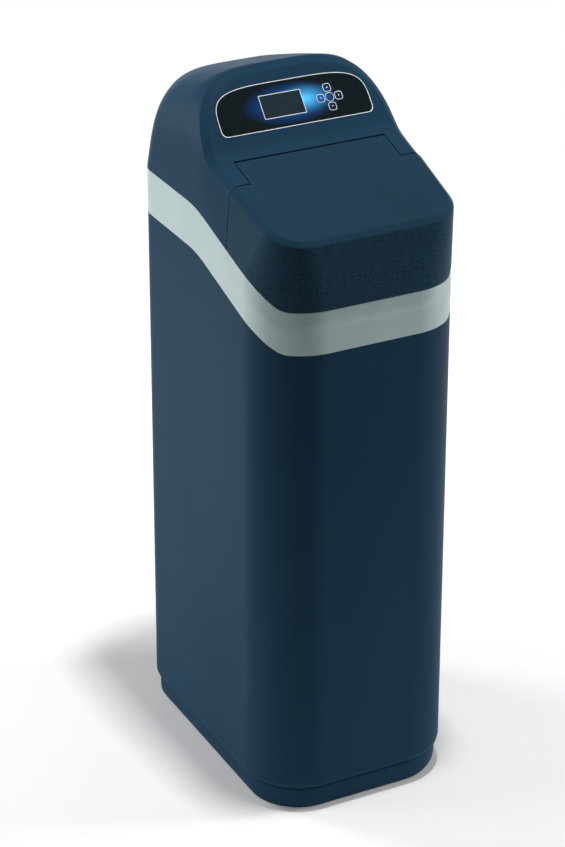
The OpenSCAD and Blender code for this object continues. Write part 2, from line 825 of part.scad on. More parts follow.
module top_distributor() {
    slots = 12;
    color([0.9, 0.9, 0.88]) at_tank() translate([0, 0, neck_top - 20 - 26]) difference() {
        cylinder(r = neck_bore_r - 2, h = 26);
        translate([0, 0, -1]) cylinder(r = riser_r + fit_play, h = 40);
        translate([0, 0, 3]) difference() {
            cylinder(r = neck_bore_r - 4.5, h = 30);
            cylinder(r = riser_r + 3, h = 30);
        }
        for (i = [0:slots - 1]) rotate([0, 0, 360*i/slots]) translate([neck_bore_r - 6, -1, 5])
            cube([8, 2, 16]);
    }
}

module bottom_distributor() {
    slots = 12;
    color([0.9, 0.9, 0.88]) at_tank() translate([0, 0, distributor_low]) difference() {
        cylinder(r = 32, h = 42);
        translate([0, 0, 20 - fit_play]) cylinder(r = riser_r + fit_play, h = 40);
        translate([0, 0, 3]) cylinder(r = riser_r - riser_wall, h = 40);
        for (i = [0:slots - 1]) rotate([0, 0, 360*i/slots])
            translate([riser_r - riser_wall - 1, -1, 5]) cube([30, 2, 12]);
    }
}

clamp_in = neck_flange_r + fit_play;
clamp_out = clamp_in + 7;

// C-shaped halves that hold the neck flange and the valve flange together
module neck_clamps() {
    low = neck_top - neck_flange_h - fit_play;
    high = valve_flange_top + fit_play;
    section = [[neck_r + 1, low - 5], [clamp_out, low - 5], [clamp_out, high + 5], [neck_r + 1, high + 5],
        [neck_r + 1, high], [clamp_in, high], [clamp_in, low], [neck_r + 1, low]];
    color([0.15, 0.15, 0.16]) at_tank() for (a = [4, 184]) rotate([0, 0, a])
        rotate_extrude(angle = 172) polygon(section);
}

module clamp_clips() {
    color("silver") at_tank() for (a = [-14, 166]) rotate([0, 0, a]) rotate_extrude(angle = 28)
        translate([clamp_out + fit_play, neck_top - 8]) square([3, 16]);
}

module at_ports() {
    for (s = [-1, 1]) translate([s*port_x, tank_y, port_z]) rotate([-90, 0, 0]) children();
}

module at_cover_screws() {
    at_tank() for (a = cover_screw_dirs) rotate([0, 0, a]) translate([valve_screw_pcr, 0, 0]) children();
}

injector_face = valve_r + 14;

module valve_body() {
    port_l = port_end - tank_y;
    way_start = 18;
    transfer_r = 6;
    color([0.16, 0.17, 0.18]) difference() {
        union() {
            at_tank() {
                translate([0, 0, neck_top - 18]) cylinder(r = neck_bore_r - fit_play, h = 20);
                translate([0, 0, neck_top]) cylinder(r = neck_flange_r, h = neck_flange_h);
                translate([0, 0, neck_top + 1]) cylinder(r = neck_r, h = body_low - neck_top);
                translate([0, 0, body_low]) cylinder(r = valve_r, h = valve_top - body_low);
            }
            at_ports() cylinder(r = port_r, h = port_l);
            translate([0, injector_y - 11, port_z - 11]) cube([injector_face, 22, 22]);
        }
        at_ports() translate([0, 0, way_start]) cylinder(r = way_r, h = port_l);
        at_ports() translate([0, 0, port_l - socket_l]) cylinder(r = socket_r, h = socket_l + 1);
        at_tank() {
            translate([0, 0, chamber_floor]) cylinder(r = chamber_r, h = chamber_h + 1);
            translate([0, 0, neck_top - 19]) cylinder(r = riser_r + fit_play, h = body_low - neck_top + 20);
            translate([0, 0, body_low]) cylinder(r = riser_r - riser_wall, h = 200);
        }
        for (s = [-1, 1]) translate([s*(chamber_r - 12), tank_y + way_start + transfer_r + 2, port_z])
            cylinder(r = transfer_r, h = 40);
        translate([valve_r - 22, injector_y, port_z]) rotate([0, 90, 0]) cylinder(r = 4, h = 60);
        at_cover_screws() translate([0, 0, valve_top - 14])
            cylinder(r = valve_screw_r + fit_play/4, h = 20);
        translate([0, tank_y + valve_r - 14, drain_z]) rotate([-90, 0, 0])
            cylinder(r = spigot_r + 2 + fit_play/4, h = 30);
    }
}

module rotor_seal() {
    color([0.1, 0.1, 0.1]) at_tank() translate([0, 0, chamber_floor]) difference() {
        cylinder(r = chamber_r - fit_play, h = rotor_seal_t);
        for (a = [45, 135, 225, 315]) rotate([0, 0, a]) translate([chamber_r - 18, 0, -1])
            cylinder(r = 9, h = 20);
        translate([0, 0, -1]) cylinder(r = riser_r - riser_wall, h = 20);
    }
}

module rotor_disc() {
    color([0.8, 0.8, 0.78]) at_tank() difference() {
        union() {
            translate([0, 0, disc_low]) cylinder(r = chamber_r - 3*run_gap, h = disc_t);
            translate([0, 0, disc_top - eps]) cylinder(r = rotor_shaft_r, h = gear_top - disc_top);
        }
        for (a = [0, 120]) rotate([0, 0, a]) translate([chamber_r - 18, 0, disc_low - 1])
            cylinder(r = 9, h = disc_t/2);
    }
}

module wave_washer() {
    color("silver") at_tank() translate([0, 0, disc_top + run_gap]) difference() {
        cylinder(r = 30, h = valve_top - disc_top - run_gap);
        translate([0, 0, -1]) cylinder(r = 22, h = 30);
    }
}

module valve_cover() {
    color([0.2, 0.21, 0.22]) difference() {
        at_tank() translate([0, 0, valve_top]) difference() {
            cylinder(r = valve_r, h = valve_cover_t);
            translate([0, 0, -1]) cylinder(r = rotor_shaft_r + run_play, h = 30);
            for (a = pillar_dirs) rotate([0, 0, a]) translate([valve_r - 6, 0, 1])
                cylinder(r = valve_screw_r + fit_play/4, h = 30);
        }
        at_cover_screws() translate([0, 0, valve_top - 1]) cylinder(r = valve_screw_r + fit_play, h = 30);
    }
}

module valve_cover_screws() {
    color("silver") at_cover_screws() {
        translate([0, 0, valve_top - 12]) cylinder(r = valve_screw_r, h = valve_cover_t + 12 + eps);
        translate([0, 0, cover_top]) cylinder(r = 4, h = 3);
    }
}

// Tooth half angle of an involute gear at radius r
function involute(a) = tan(a)*180/PI - a;
function tooth_half(r, rp, n) =
    let (rb = rp*cos(20))
    90/n - backlash/4/rp*180/PI + involute(20) - involute(acos(min(1, rb/r)));

module gear_outline(n) {
    rp = gear_module*n/2;
    radii = [rp - 1.3*gear_module, max(rp*cos(20), rp - gear_module), rp, rp + 0.8*gear_module];
    polygon([for (i = [0:n - 1]) each concat(
        [for (r = radii) polar(r, 360*i/n - tooth_half(max(r, rp*cos(20)), rp, n))],
        [for (r = flipped(radii)) polar(r, 360*i/n + tooth_half(max(r, rp*cos(20)), rp, n))])]);
}

module cam_gear() {
    color([0.85, 0.85, 0.82]) at_tank() difference() {
        union() {
            translate([0, 0, gear_low]) rotate([0, 0, pinion_dir]) linear_extrude(gear_t)
                gear_outline(cam_teeth);
            translate([0, 0, cover_top + run_gap]) cylinder(r = 14, h = gear_low - cover_top);
            difference() {
                translate([0, 0, gear_top - eps]) cylinder(r = cam_r, h = cam_h);
                for (a = [20, 150, 260]) rotate([0, 0, a]) translate([cam_r - 3, -4, gear_top])
                    cube([10, 8, 20]);
            }
        }
        translate([0, 0, cover_top])
            cylinder(r = rotor_shaft_r + fit_play/4, h = gear_top - cover_top + eps);
    }
}

module motor_plate() {
    color([0.25, 0.26, 0.27]) difference() {
        union() {
            at_tank() {
                translate([0, 0, plate_low_z]) cylinder(r = valve_r, h = motor_plate_t);
                for (a = pillar_dirs) rotate([0, 0, a]) translate([valve_r - 6, 0, cover_top])
                    cylinder(r = 4, h = pillar_h + eps);
            }
            translate([pinion_at[0], pinion_at[1], plate_low_z])
                cylinder(r = motor_r + 3, h = motor_plate_t);
        }
        translate([pinion_at[0], pinion_at[1], plate_low_z - 1]) cylinder(r = pinion_shaft_r + 3, h = 20);
        at_tank() {
            translate([0, 0, plate_low_z - 1]) cylinder(r = 12, h = 20);
            for (a = pillar_dirs) rotate([0, 0, a]) translate([valve_r - 6, 0, cover_top - 1])
                cylinder(r = valve_screw_r + fit_play, h = 60);
        }
    }
}

module plate_screws() {
    color("silver") at_tank() for (a = pillar_dirs) rotate([0, 0, a]) translate([valve_r - 6, 0, 0]) {
        translate([0, 0, cover_top - 6]) cylinder(r = valve_screw_r, h = plate_top_z - cover_top + 6 + eps);
        translate([0, 0, plate_top_z]) cylinder(r = 4, h = 3);
    }
}

module drive_motor() {
    color([0.7, 0.72, 0.74]) translate([pinion_at[0], pinion_at[1], plate_top_z]) difference() {
        cylinder(r = motor_r, h = motor_h);
        translate([0, 0, -1]) cylinder(r = pinion_shaft_r + run_play, h = 14 + 1);
    }
}

module motor_pinion() {
    color([0.9, 0.9, 0.86]) translate([pinion_at[0], pinion_at[1], gear_low]) {
        rotate([0, 0, pinion_dir + 180 + 180/pinion_teeth]) linear_extrude(gear_t)
            gear_outline(pinion_teeth);
        translate([0, 0, gear_t - eps])
            cylinder(r = pinion_shaft_r, h = plate_top_z + 12 - gear_low - gear_t);
    }
}

module position_switch() {
    color([0.1, 0.1, 0.1]) at_tank() rotate([0, 0, 75]) {
        translate([cam_r + 6, -10, gear_top + 1.5]) cube([8, 20, plate_low_z - gear_top - 1.5]);
        translate([cam_r + 1, -1.5, gear_top + 2.5]) cube([6, 3, 2]);
    }
}

module injector_body() {
    color([0.16, 0.17, 0.18]) difference() {
        union() {
            translate([injector_face, injector_y - 14, port_z - 14])
                cube([brine_x - injector_face, 28, 23]);
            translate([brine_x, injector_y, injector_low])
                cylinder(r = injector_r, h = injector_top - injector_low);
            translate([brine_x, injector_y, nipple_low])
                cylinder(r = tube_bore - fit_play/4, h = injector_low - nipple_low + 1);
        }
        translate([brine_x, injector_y, injector_low + 8]) cylinder(r = injector_r - 4, h = 60);
        translate([brine_x, injector_y, nipple_low - 1]) cylinder(r = tube_bore - 1.6, h = 60);
        translate([injector_face - 1, injector_y, port_z]) rotate([0, 90, 0])
            cylinder(r = 4, h = brine_x - injector_face);
    }
}

module nozzle_venturi() {
    color([0.9, 0.9, 0.88]) translate([brine_x, injector_y, injector_low + 8]) difference() {
        cylinder(r = injector_r - 4 - fit_play, h = 6);
        translate([0, 0, -1]) cylinder(r = 1.2, h = 20);
    }
}

module injector_gasket() {
    color([0.1, 0.1, 0.1]) translate([brine_x, injector_y, injector_top]) difference() {
        cylinder(r = injector_r - 0.5, h = 1.5);
        translate([0, 0, -1]) cylinder(r = injector_r - 4, h = 10);
    }
}

module injector_cap() {
    grips = 16;
    cap_r = injector_r + 3.5;
    color([0.1, 0.11, 0.12]) translate([brine_x, injector_y, injector_top]) difference() {
        translate([0, 0, -10]) cylinder(r = cap_r, h = 18);
        translate([0, 0, -11]) cylinder(r = injector_r + fit_play, h = 11 + 1.5);
        for (i = [0:grips - 1]) rotate([0, 0, 360*(i + 0.5)/grips]) translate([cap_r + 0.8, 0, -11])
            cylinder(r = 1.8, h = 22);
    }
}

// Axis of the flow meter, in the outlet port
module at_meter(y) {
    translate([-port_x, y, port_z]) rotate([-90, 0, 0]) children();
}

module turbine() {
    blades = 6;
    color([0.9, 0.9, 0.88]) at_meter(turbine_low) difference() {
        union() {
            cylinder(r = 4.5, h = turbine_l);
            intersection() {
                cylinder(r = turbine_r, h = turbine_l);
                for (i = [0:blades - 1]) rotate([0, 0, 360*i/blades]) translate([4, 0, turbine_l/2])
                    rotate([25, 0, 0]) translate([0, -0.6, -turbine_l]) cube([20, 1.2, 2*turbine_l]);
            }
        }
        translate([0, 0, -1]) cylinder(r = turbine_shaft_r + run_play, h = turbine_l + 2);
    }
}

module turbine_support() {
    color([0.7, 0.7, 0.68]) {
        for (y = [turbine_low - run_gap - 4, turbine_low + turbine_l + run_gap]) at_meter(y) {
            difference() {
                cylinder(r = way_r - fit_play/4, h = 4);
                translate([0, 0, -1]) cylinder(r = way_r - 1.5, h = 6);
            }
            for (a = [90, 210, 330]) rotate([0, 0, a]) translate([0, -0.8, 0.5])
                cube([way_r - 0.8, 1.6, 3]);
            cylinder(r = 3, h = 4);
        }
        at_meter(turbine_low - run_gap - 2) cylinder(r = turbine_shaft_r, h = turbine_l + 2*run_gap + 4);
    }
}

module flow_sensor() {
    color([0.12, 0.12, 0.13]) difference() {
        translate([-port_x - 9, turbine_low - 4, port_z + port_r - 5]) cube([18, 20, 14]);
        at_meter(turbine_low - 10) cylinder(r = port_r + fit_play/4, h = 40);
    }
}

module drain_fitting() {
    start = tank_y + valve_r - 8;
    color([0.16, 0.17, 0.18]) translate([0, start, drain_z]) rotate([-90, 0, 0]) difference() {
        union() {
            cylinder(r = spigot_r + 2, h = port_end - spigot_l - start);
            translate([0, 0, 12]) cylinder(r = spigot_r + 5, h = 8);
            cylinder(r = spigot_r, h = port_end - start);
        }
        translate([0, 0, -1]) cylinder(r = spigot_r - 2, h = 200);
    }
}

module at_well() {
    translate([brine_x, -brine_y, 0]) children();
}

module brinewell() {
    slot_rows = 8;
    slots = 8;
    color([0.82, 0.84, 0.84]) at_well() difference() {
        translate([0, 0, floor_t]) cylinder(r = well_r, h = well_h);
        translate([0, 0, floor_t - 1]) cylinder(r = well_r - well_wall, h = well_h + 2);
        for (j = [0:slot_rows - 1], i = [0:slots - 1]) rotate([0, 0, 360*i/slots])
            translate([well_r - well_wall - 2, -2, floor_t + 12 + 22*j]) cube([well_wall + 4, 4, 14]);
    }
}

module brinewell_cap() {
    cap_r = well_r + cap_lap;
    color([0.2, 0.22, 0.24]) at_well() translate([0, 0, well_top]) difference() {
        union() {
            translate([0, 0, -12]) cylinder(r = cap_r, h = 16);
            translate([0, 0, 4 - eps]) cylinder(r = 14, h = 6);
        }
        translate([0, 0, -13]) cylinder(r = well_r + run_gap, h = 13 + run_gap);
        translate([0, 0, -13]) cylinder(r = brine_riser_r + run_gap, h = 60);
    }
}

module brine_valve_body() {
    color([0.16, 0.17, 0.18]) at_well() translate([0, 0, floor_t + screen_h]) difference() {
        cylinder(r = brine_valve_r, h = brine_valve_top - floor_t - screen_h);
        translate([0, 0, brine_valve_top - floor_t - screen_h - 30])
            cylinder(r = brine_riser_r + fit_play/4, h = 40);
        translate([0, 0, -1]) cylinder(r = brine_riser_r - 2, h = 200);
    }
}

module brine_screen() {
    slots = 10;
    color([0.9, 0.9, 0.88]) at_well() translate([0, 0, floor_t]) difference() {
        cylinder(r = brine_valve_r + 4, h = screen_h);
        translate([0, 0, -1]) cylinder(r = brine_valve_r - 4, h = screen_h + 2);
        for (i = [0:slots - 1]) rotate([0, 0, 360*i/slots]) translate([brine_valve_r - 6, -1.5, 2])
            cube([20, 3, screen_h - 4]);
    }
}

module brine_riser() {
    low = brine_valve_top - 30;
    color([0.85, 0.85, 0.82]) at_well() translate([0, 0, low]) difference() {
        cylinder(r = brine_riser_r, h = well_top + 4 + cap_lift - low);
        translate([0, 0, -1]) cylinder(r = brine_riser_r - 2, h = well_h);
        translate([0, 0, well_top - low - 20]) cylinder(r = tube_r + fit_play/4, h = 200);
    }
}

module brine_float() {
    color([0.85, 0.6, 0.2]) at_well() translate([0, 0, float_low]) difference() {
        cylinder(r = float_r, h = float_h);
        translate([0, 0, -1]) cylinder(r = brine_riser_r + run_gap, h = float_h + 2);
    }
}

module float_stop() {
    color([0.2, 0.2, 0.2]) at_well() translate([0, 0, float_stop_z]) difference() {
        cylinder(r = brine_riser_r + 4, h = 8);
        translate([0, 0, -1]) cylinder(r = brine_riser_r + fit_play/4, h = 10);
    }
}

module tube_section() {
    difference() {
        circle(tube_r);
        circle(tube_bore);
    }
}

// Brine tube in one plane: up out of the riser, level run to the rear, up onto the injector's nipple
module brine_tube() {
    low = well_top - 20;
    color([0.75, 0.78, 0.8]) translate([brine_x, 0, 0]) {
        translate([0, drop_y, low]) linear_extrude(riser_end - low) tube_section();
        translate([0, drop_y + tube_bend, riser_end]) rotate([90, 0, -90]) rotate_extrude(angle = 90)
            translate([tube_bend, 0]) tube_section();
        translate([0, drop_y + tube_bend, tube_run_z]) rotate([-90, 0, 0])
            linear_extrude(injector_y - drop_y - 2*tube_bend) tube_section();
        translate([0, injector_y - tube_bend, tube_run_z + tube_bend]) rotate([90, 0, 90])
            rotate_extrude(angle = -90) translate([tube_bend, 0]) tube_section();
        translate([0, injector_y, tube_run_z + tube_bend])
            linear_extrude(injector_low - fit_play - tube_run_z - tube_bend) tube_section();
    }
}

module overflow_grommet() {
    color([0.08, 0.08, 0.08]) translate([-overflow_x, body_d/2, overflow_z]) rotate([-90, 0, 0])
        difference() {
        union() {
            translate([0, 0, -cabinet_wall - 3]) cylinder(r = overflow_r + 7, h = 3 - fit_play);
            translate([0, 0, -cabinet_wall - 3])
                cylinder(r = overflow_r + 3 - fit_play, h = cabinet_wall + 6);
            translate([0, 0, fit_play]) cylinder(r = overflow_r + 7, h = 3 - fit_play);
        }
        translate([0, 0, -cabinet_wall - 4]) cylinder(r = overflow_r + fit_play/4, h = cabinet_wall + 8);
    }
}

module overflow_elbow() {
    turn = 16;
    out = 6;
    color([0.16, 0.17, 0.18]) translate([-overflow_x, body_d/2, overflow_z]) {
        translate([0, -cabinet_wall - 10, 0]) rotate([-90, 0, 0]) difference() {
            cylinder(r = overflow_r, h = cabinet_wall + 10 + out);
            translate([0, 0, -1]) cylinder(r = spigot_r - 2, h = 80);
        }
        translate([0, out, -turn]) rotate([90, 0, 90]) rotate_extrude(angle = 90) translate([turn, 0])
            difference() {
            circle(overflow_r);
            circle(spigot_r - 2);
        }
        translate([0, out + turn, -turn - spigot_l]) difference() {
            cylinder(r = spigot_r, h = spigot_l + eps);
            translate([0, 0, -1]) cylinder(r = spigot_r - 2, h = 80);
        }
    }
}

module cable_gland() {
    color([0.08, 0.08, 0.08]) translate([gland_x, body_d/2, rim_rear_z - rim_h_side/2])
        rotate([-90, 0, 0]) difference() {
        union() {
            translate([0, 0, -rim_wall - 3]) cylinder(r = gland_r + 6, h = 3 - fit_play);
            translate([0, 0, -rim_wall - 3]) cylinder(r = gland_r + 3 - fit_play, h = rim_wall + 7);
            translate([0, 0, fit_play]) cylinder(r = gland_r + 6, h = 3);
        }
        translate([0, 0, -20]) cylinder(r = gland_r, h = 60);
    }
}

cabinet();
rim();
top_cover();
salt_lid();
hinge_pins();
faceplate();
display_window();
display_module();
control_board();
board_screws();
tact_switches();
button_up();
button_down();
button_left();
button_right();
button_ok();
wiring_harness();
resin_tank();
tank_boot();
resin_bed();
riser_tube();
top_distributor();
bottom_distributor();
neck_o_ring();
neck_clamps();
clamp_clips();
valve_body();
rotor_seal();
rotor_disc();
wave_washer();
valve_cover();
valve_cover_screws();
cam_gear();
motor_plate();
plate_screws();
drive_motor();
motor_pinion();
position_switch();
injector_body();
nozzle_venturi();
injector_gasket();
injector_cap();
turbine();
turbine_support();
flow_sensor();
drain_fitting();
brinewell();
brinewell_cap();
brine_valve_body();
brine_screen();
brine_riser();
brine_float();
float_stop();
brine_tube();
overflow_grommet();
overflow_elbow();
cable_gland();
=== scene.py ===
import bmesh
import bpy
import numpy as np
from mathutils import Matrix


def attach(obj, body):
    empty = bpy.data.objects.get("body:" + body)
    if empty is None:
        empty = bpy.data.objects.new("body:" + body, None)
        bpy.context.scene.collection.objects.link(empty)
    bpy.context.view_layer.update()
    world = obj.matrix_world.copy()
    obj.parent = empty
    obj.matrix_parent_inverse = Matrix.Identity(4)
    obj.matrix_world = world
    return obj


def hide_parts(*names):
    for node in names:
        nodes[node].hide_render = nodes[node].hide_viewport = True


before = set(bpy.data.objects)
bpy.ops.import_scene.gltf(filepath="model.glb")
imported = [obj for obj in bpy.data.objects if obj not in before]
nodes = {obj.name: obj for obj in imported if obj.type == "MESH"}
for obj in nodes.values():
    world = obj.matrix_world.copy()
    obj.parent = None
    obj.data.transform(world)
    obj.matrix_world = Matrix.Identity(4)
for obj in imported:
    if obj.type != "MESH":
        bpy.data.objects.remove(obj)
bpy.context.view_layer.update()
scene = bpy.context.scene
scene.view_settings.view_transform = "Standard"

# Camera: a long lens at the front left corner, a little above the lid, so that the upright edges
# stay almost parallel. The picture is 565 by 847 pixels and the lens is given in pixels.
PICTURE_H = 847
LENS_PX = 2977
SENSOR = 36
AIM = np.array((0, 0, 500))
DISTANCE, SHIFT_RIGHT, SHIFT_UP = 4925.4, -26.71, 75.27
turn, lift, roll = np.radians((-28.086, 25.897, 0.118))
back = np.array((np.sin(turn)*np.cos(lift), -np.cos(turn)*np.cos(lift), np.sin(lift)))
right = np.array((np.cos(turn), np.sin(turn), 0))
up = np.cross(back, right)
eye = AIM + DISTANCE*back + SHIFT_RIGHT*right + SHIFT_UP*up
right, up = np.cos(roll)*right + np.sin(roll)*up, np.cos(roll)*up - np.sin(roll)*right
lens = bpy.data.cameras.new("camera")
lens.sensor_fit = "VERTICAL"
lens.sensor_height = SENSOR
lens.lens = LENS_PX*SENSOR/PICTURE_H
camera = bpy.data.objects.new("camera", lens)
camera.matrix_world = Matrix(np.vstack([np.column_stack([right, up, back, eye/1000]), (0, 0, 0, 1)]))
scene.collection.objects.link(camera)
scene.camera = camera

# Cabinet: the tall salt bin, injection moulded in one piece from dark blue-grey plastic with a satin
# skin. Its wall rolls in over a stepped plinth, and its top lip follows the slanted joint with the rim.
HALF_W, HALF_D = 177.5, 245.0
FRONT_R, REAR_R, SIDE_DRAW = 98.0, 50.0, 9.0
FRONT_C = np.array((HALF_W - FRONT_R, FRONT_R - HALF_D))
REAR_C = np.array((HALF_W - SIDE_DRAW - REAR_R, HALF_D - REAR_R))
SIDE_RUN = REAR_C - FRONT_C
SIDE = np.arctan2(SIDE_RUN[1], SIDE_RUN[0]) - np.arccos((FRONT_R - REAR_R)/np.hypot(*SIDE_RUN))
PORT_HALF = 71.0


def arc(centre, radius, start, end, steps):
    """Points of a circle between two angles, and the outward direction at each."""
    a = np.linspace(start, end, steps + 1)
    n = np.column_stack([np.cos(a), np.sin(a)])
    return centre + radius*n, n


def run(p, q, n, steps):
    """Inner points of a straight run from p to q with the outward direction n."""
    w = np.linspace(0, 1, steps + 1)[1:-1, None]
    return p + w*(q - p), np.repeat([n], steps - 1, axis=0)


def plan_columns():
    """The cabinet's outline seen from above, front middle to rear middle and mirrored back: straight front,
    large front corner, drawn-in side, small rear corner, straight rear with stops at the port notch.
    Moving each point against its outward direction by d gives the outline drawn in by d."""
    front, front_n = arc(FRONT_C, FRONT_R, -np.pi/2, SIDE, 36)
    rear, rear_n = arc(REAR_C, REAR_R, SIDE, np.pi/2, 20)
    ahead, ahead_n = run(np.array((0, -HALF_D)), front[0], (0, -1), 6)
    side, side_n = run(front[-1], rear[0], (np.cos(SIDE), np.sin(SIDE)), 64)
    stops = np.array((108, 98, 85, PORT_HALF + 0.8, PORT_HALF, 50, 25, 0))
    behind = np.column_stack([stops, np.full(8, HALF_D)])
    p = np.vstack([[(0, -HALF_D)], ahead, front, side, rear, behind])
    n = np.vstack([[(0, -1)], ahead_n, front_n, side_n, rear_n, np.repeat([(0, 1)], 8, axis=0)])
    mirror = np.array((-1, 1))
    return np.vstack([p, (p*mirror)[-2:0:-1]]), np.vstack([n, (n*mirror)[-2:0:-1]])


def bent_line(points, radii):
    """A line through points with round bends: each arc touches its two runs at radius times the tangent of
    half the turn from the corner."""
    p = np.asarray(points, float)
    parts = [p[:1]]
    for a, b, c, r in zip(p[:-2], p[1:-1], p[2:], radii):
        u, v = (a - b)/np.hypot(*(a - b)), (c - b)/np.hypot(*(c - b))
        half = np.arccos(u @ v)/2
        middle = b + (u + v)/np.hypot(*(u + v))*r/np.sin(half)
        s, e = b + u*r/np.tan(half) - middle, b + v*r/np.tan(half) - middle
        sweep = (np.arctan2(e[1], e[0]) - np.arctan2(s[1], s[0]) + np.pi) % (2*np.pi) - np.pi
        start = np.arctan2(s[1], s[0])
        parts.append(arc(middle, r, start, start + sweep, 40)[0])
    return np.vstack(parts + [p[-1:]])


def height(line, y):
    """Height of a side-view line at depth y."""
    return np.interp(y, line[:, 0], line[:, 1])


def quads(rows, cols, wrap=False, flip=False):
    """Corner numbers of the faces between neighbouring rows and columns of a grid of points."""
    i, j = np.meshgrid(np.arange(rows - 1), np.arange(cols if wrap else cols - 1), indexing="ij")
    k = (j + 1) % cols
    f = np.stack([i*cols + j, i*cols + k, (i + 1)*cols + k, (i + 1)*cols + j], -1).reshape(-1, 4)
    return (f[:, ::-1] if flip else f).tolist()


def prism(k, flip=False):
    """Faces of a bar whose two ends are rings of k points: its sides and both ends."""
    ends = [list(range(k))[::-1], list(range(k, 2*k))]
    return quads(2, k, wrap=True, flip=flip) + ([end[::-1] for end in ends] if flip else ends)


def rings(outline, n, profile):
    """A profile carried round the outline: each row is (inset, height), and a point lies at the outline
    less inset times the outward direction, at that height."""
    flat = [np.column_stack([outline - n*np.reshape(inset, (-1, 1)), np.broadcast_to(z, len(outline))])
            for inset, z in profile]
    return np.vstack(flat)


def make(name, points, faces, body=None, weld=0.0):
    """A mesh piece from points in millimetres, in the shared frame, riding on a body if one is named."""
    mesh = bpy.data.meshes.new(name)
    mesh.from_pydata(np.asarray(points)/1000, [], faces)
    if weld:
        b = bmesh.new()
        b.from_mesh(mesh)
        bmesh.ops.remove_doubles(b, verts=b.verts, dist=weld/1000)
        b.to_mesh(mesh)
        b.free()
    piece = bpy.data.objects.new(name, mesh)
    scene.collection.objects.link(piece)
    if body:
        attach(piece, body)
    return piece


def apply_modifiers(piece):
    """Replaces a piece's mesh by what its modifiers make of it."""
    grown = piece.evaluated_get(bpy.context.evaluated_depsgraph_get())
    mesh = bpy.data.meshes.new_from_object(grown)
    mesh.name = piece.name
    piece.modifiers.clear()
    piece.data = mesh


def settle(piece, crisp=30):
    """Applies a piece's modifiers and shades it smooth, with edges sharper than the angle kept crisp and large
    faces outweighing small ones, so that flats stay flat up to their rounded edges."""
    apply_modifiers(piece)
    piece.data.shade_smooth()
    piece.data.set_sharp_from_angle(angle=np.radians(crisp))
    piece.modifiers.new("flats", "WEIGHTED_NORMAL").keep_sharp = True
    apply_modifiers(piece)


def bore(piece, x, z, radius, reach=30, steps=48):
    """Drills a round hole through the rear wall of a piece at x and z, along the depth."""
    a = np.linspace(0, 2*np.pi, steps, endpoint=False)
    circle = np.column_stack([x + radius*np.cos(a), z + radius*np.sin(a)])
    ends = [np.insert(circle, 1, y, axis=1) for y in (HALF_D - reach, HALF_D + reach)]
    drill = make(piece.name + "_drill", np.vstack(ends), prism(steps, flip=True))
    cut = piece.modifiers.new("bore", "BOOLEAN")
    cut.object = drill
    cut.solver = "EXACT"
    settle(piece)
    bpy.data.objects.remove(drill)


def ink(r, g, b):
    """A colour read off a screen, 0 to 255, as a linear colour."""
    c = np.array((r, g, b))/255
    return (*np.where(c <= 0.04045, c/12.92, ((c + 0.055)/1.055)**2.4), 1)


def finish_of(name, colour, rough, spec, metal=0.0):
    """A new node material with its even values set on the shader itself."""
    material = bpy.data.materials.new(name)
    material.use_nodes = True
    tree = material.node_tree
    shader = tree.nodes["Principled BSDF"]
    shader.inputs["Base Color"].default_value = colour
    shader.inputs["Roughness"].default_value = rough
    shader.inputs["Specular IOR Level"].default_value = spec
    shader.inputs["Metallic"].default_value = metal
    place = tree.nodes.new("ShaderNodeTexCoord").outputs["Object"]
    return material, tree, shader, place


def noise(tree, place, scale, detail=2.0, stretch=None):
    """A noise value over the piece, scale in cycles per metre; stretch squeezes it along an axis."""
    if stretch:
        mapping = tree.nodes.new("ShaderNodeMapping")
        mapping.inputs["Scale"].default_value = stretch
        tree.links.new(place, mapping.inputs["Vector"])
        place = mapping.outputs["Vector"]
    node = tree.nodes.new("ShaderNodeTexNoise")
    node.inputs["Scale"].default_value = scale
    node.inputs["Detail"].default_value = detail
    tree.links.new(place, node.inputs["Vector"])
    return node.outputs["Fac"]


def tint(tree, shader, value, dark, light, low=0.3, high=0.7):
    """Colours the surface from dark to light by a value."""
    ramp = tree.nodes.new("ShaderNodeValToRGB")
    ramp.color_ramp.elements[0].position, ramp.color_ramp.elements[1].position = low, high
    ramp.color_ramp.elements[0].color, ramp.color_ramp.elements[1].color = dark, light
    tree.links.new(value, ramp.inputs["Fac"])
    tree.links.new(ramp.outputs["Color"], shader.inputs["Base Color"])
    return ramp.outputs["Color"]


def gloss(tree, shader, value, low, high):
    """Roughness between two values."""
    spread = tree.nodes.new("ShaderNodeMapRange")
    spread.inputs["From Min"].default_value, spread.inputs["From Max"].default_value = 0.3, 0.7
    spread.inputs["To Min"].default_value, spread.inputs["To Max"].default_value = low, high
    tree.links.new(value, spread.inputs["Value"])
    tree.links.new(spread.outputs["Result"], shader.inputs["Roughness"])


def emboss(tree, shader, value, depth):
    """Raises the surface by a value, depth in millimetres."""
    bump = tree.nodes.new("ShaderNodeBump")
    bump.inputs["Distance"].default_value = depth/1000
    tree.links.new(value, bump.inputs["Height"])
    tree.links.new(bump.outputs["Normal"], shader.inputs["Normal"])


def shade(colour, factor):
    """The same colour, lighter or darker."""
    return (*(np.array(colour[:3])*factor), 1)


def moulded(name, colour, rough, spec, grain=900, depth=0.02):
    """Moulded plastic: faint flow marks in the colour, a fine eroded grain, and gloss that varies with the grain."""
    material, tree, shader, place = finish_of(name, colour, rough, spec)
    flow = noise(tree, place, 5, 3, stretch=(1, 1, 0.35))
    fine = noise(tree, place, grain, 3)
    tint(tree, shader, flow, shade(colour, 0.94), shade(colour, 1.06))
    gloss(tree, shader, fine, rough - 0.05, rough + 0.05)
    emboss(tree, shader, fine, depth)
    return material


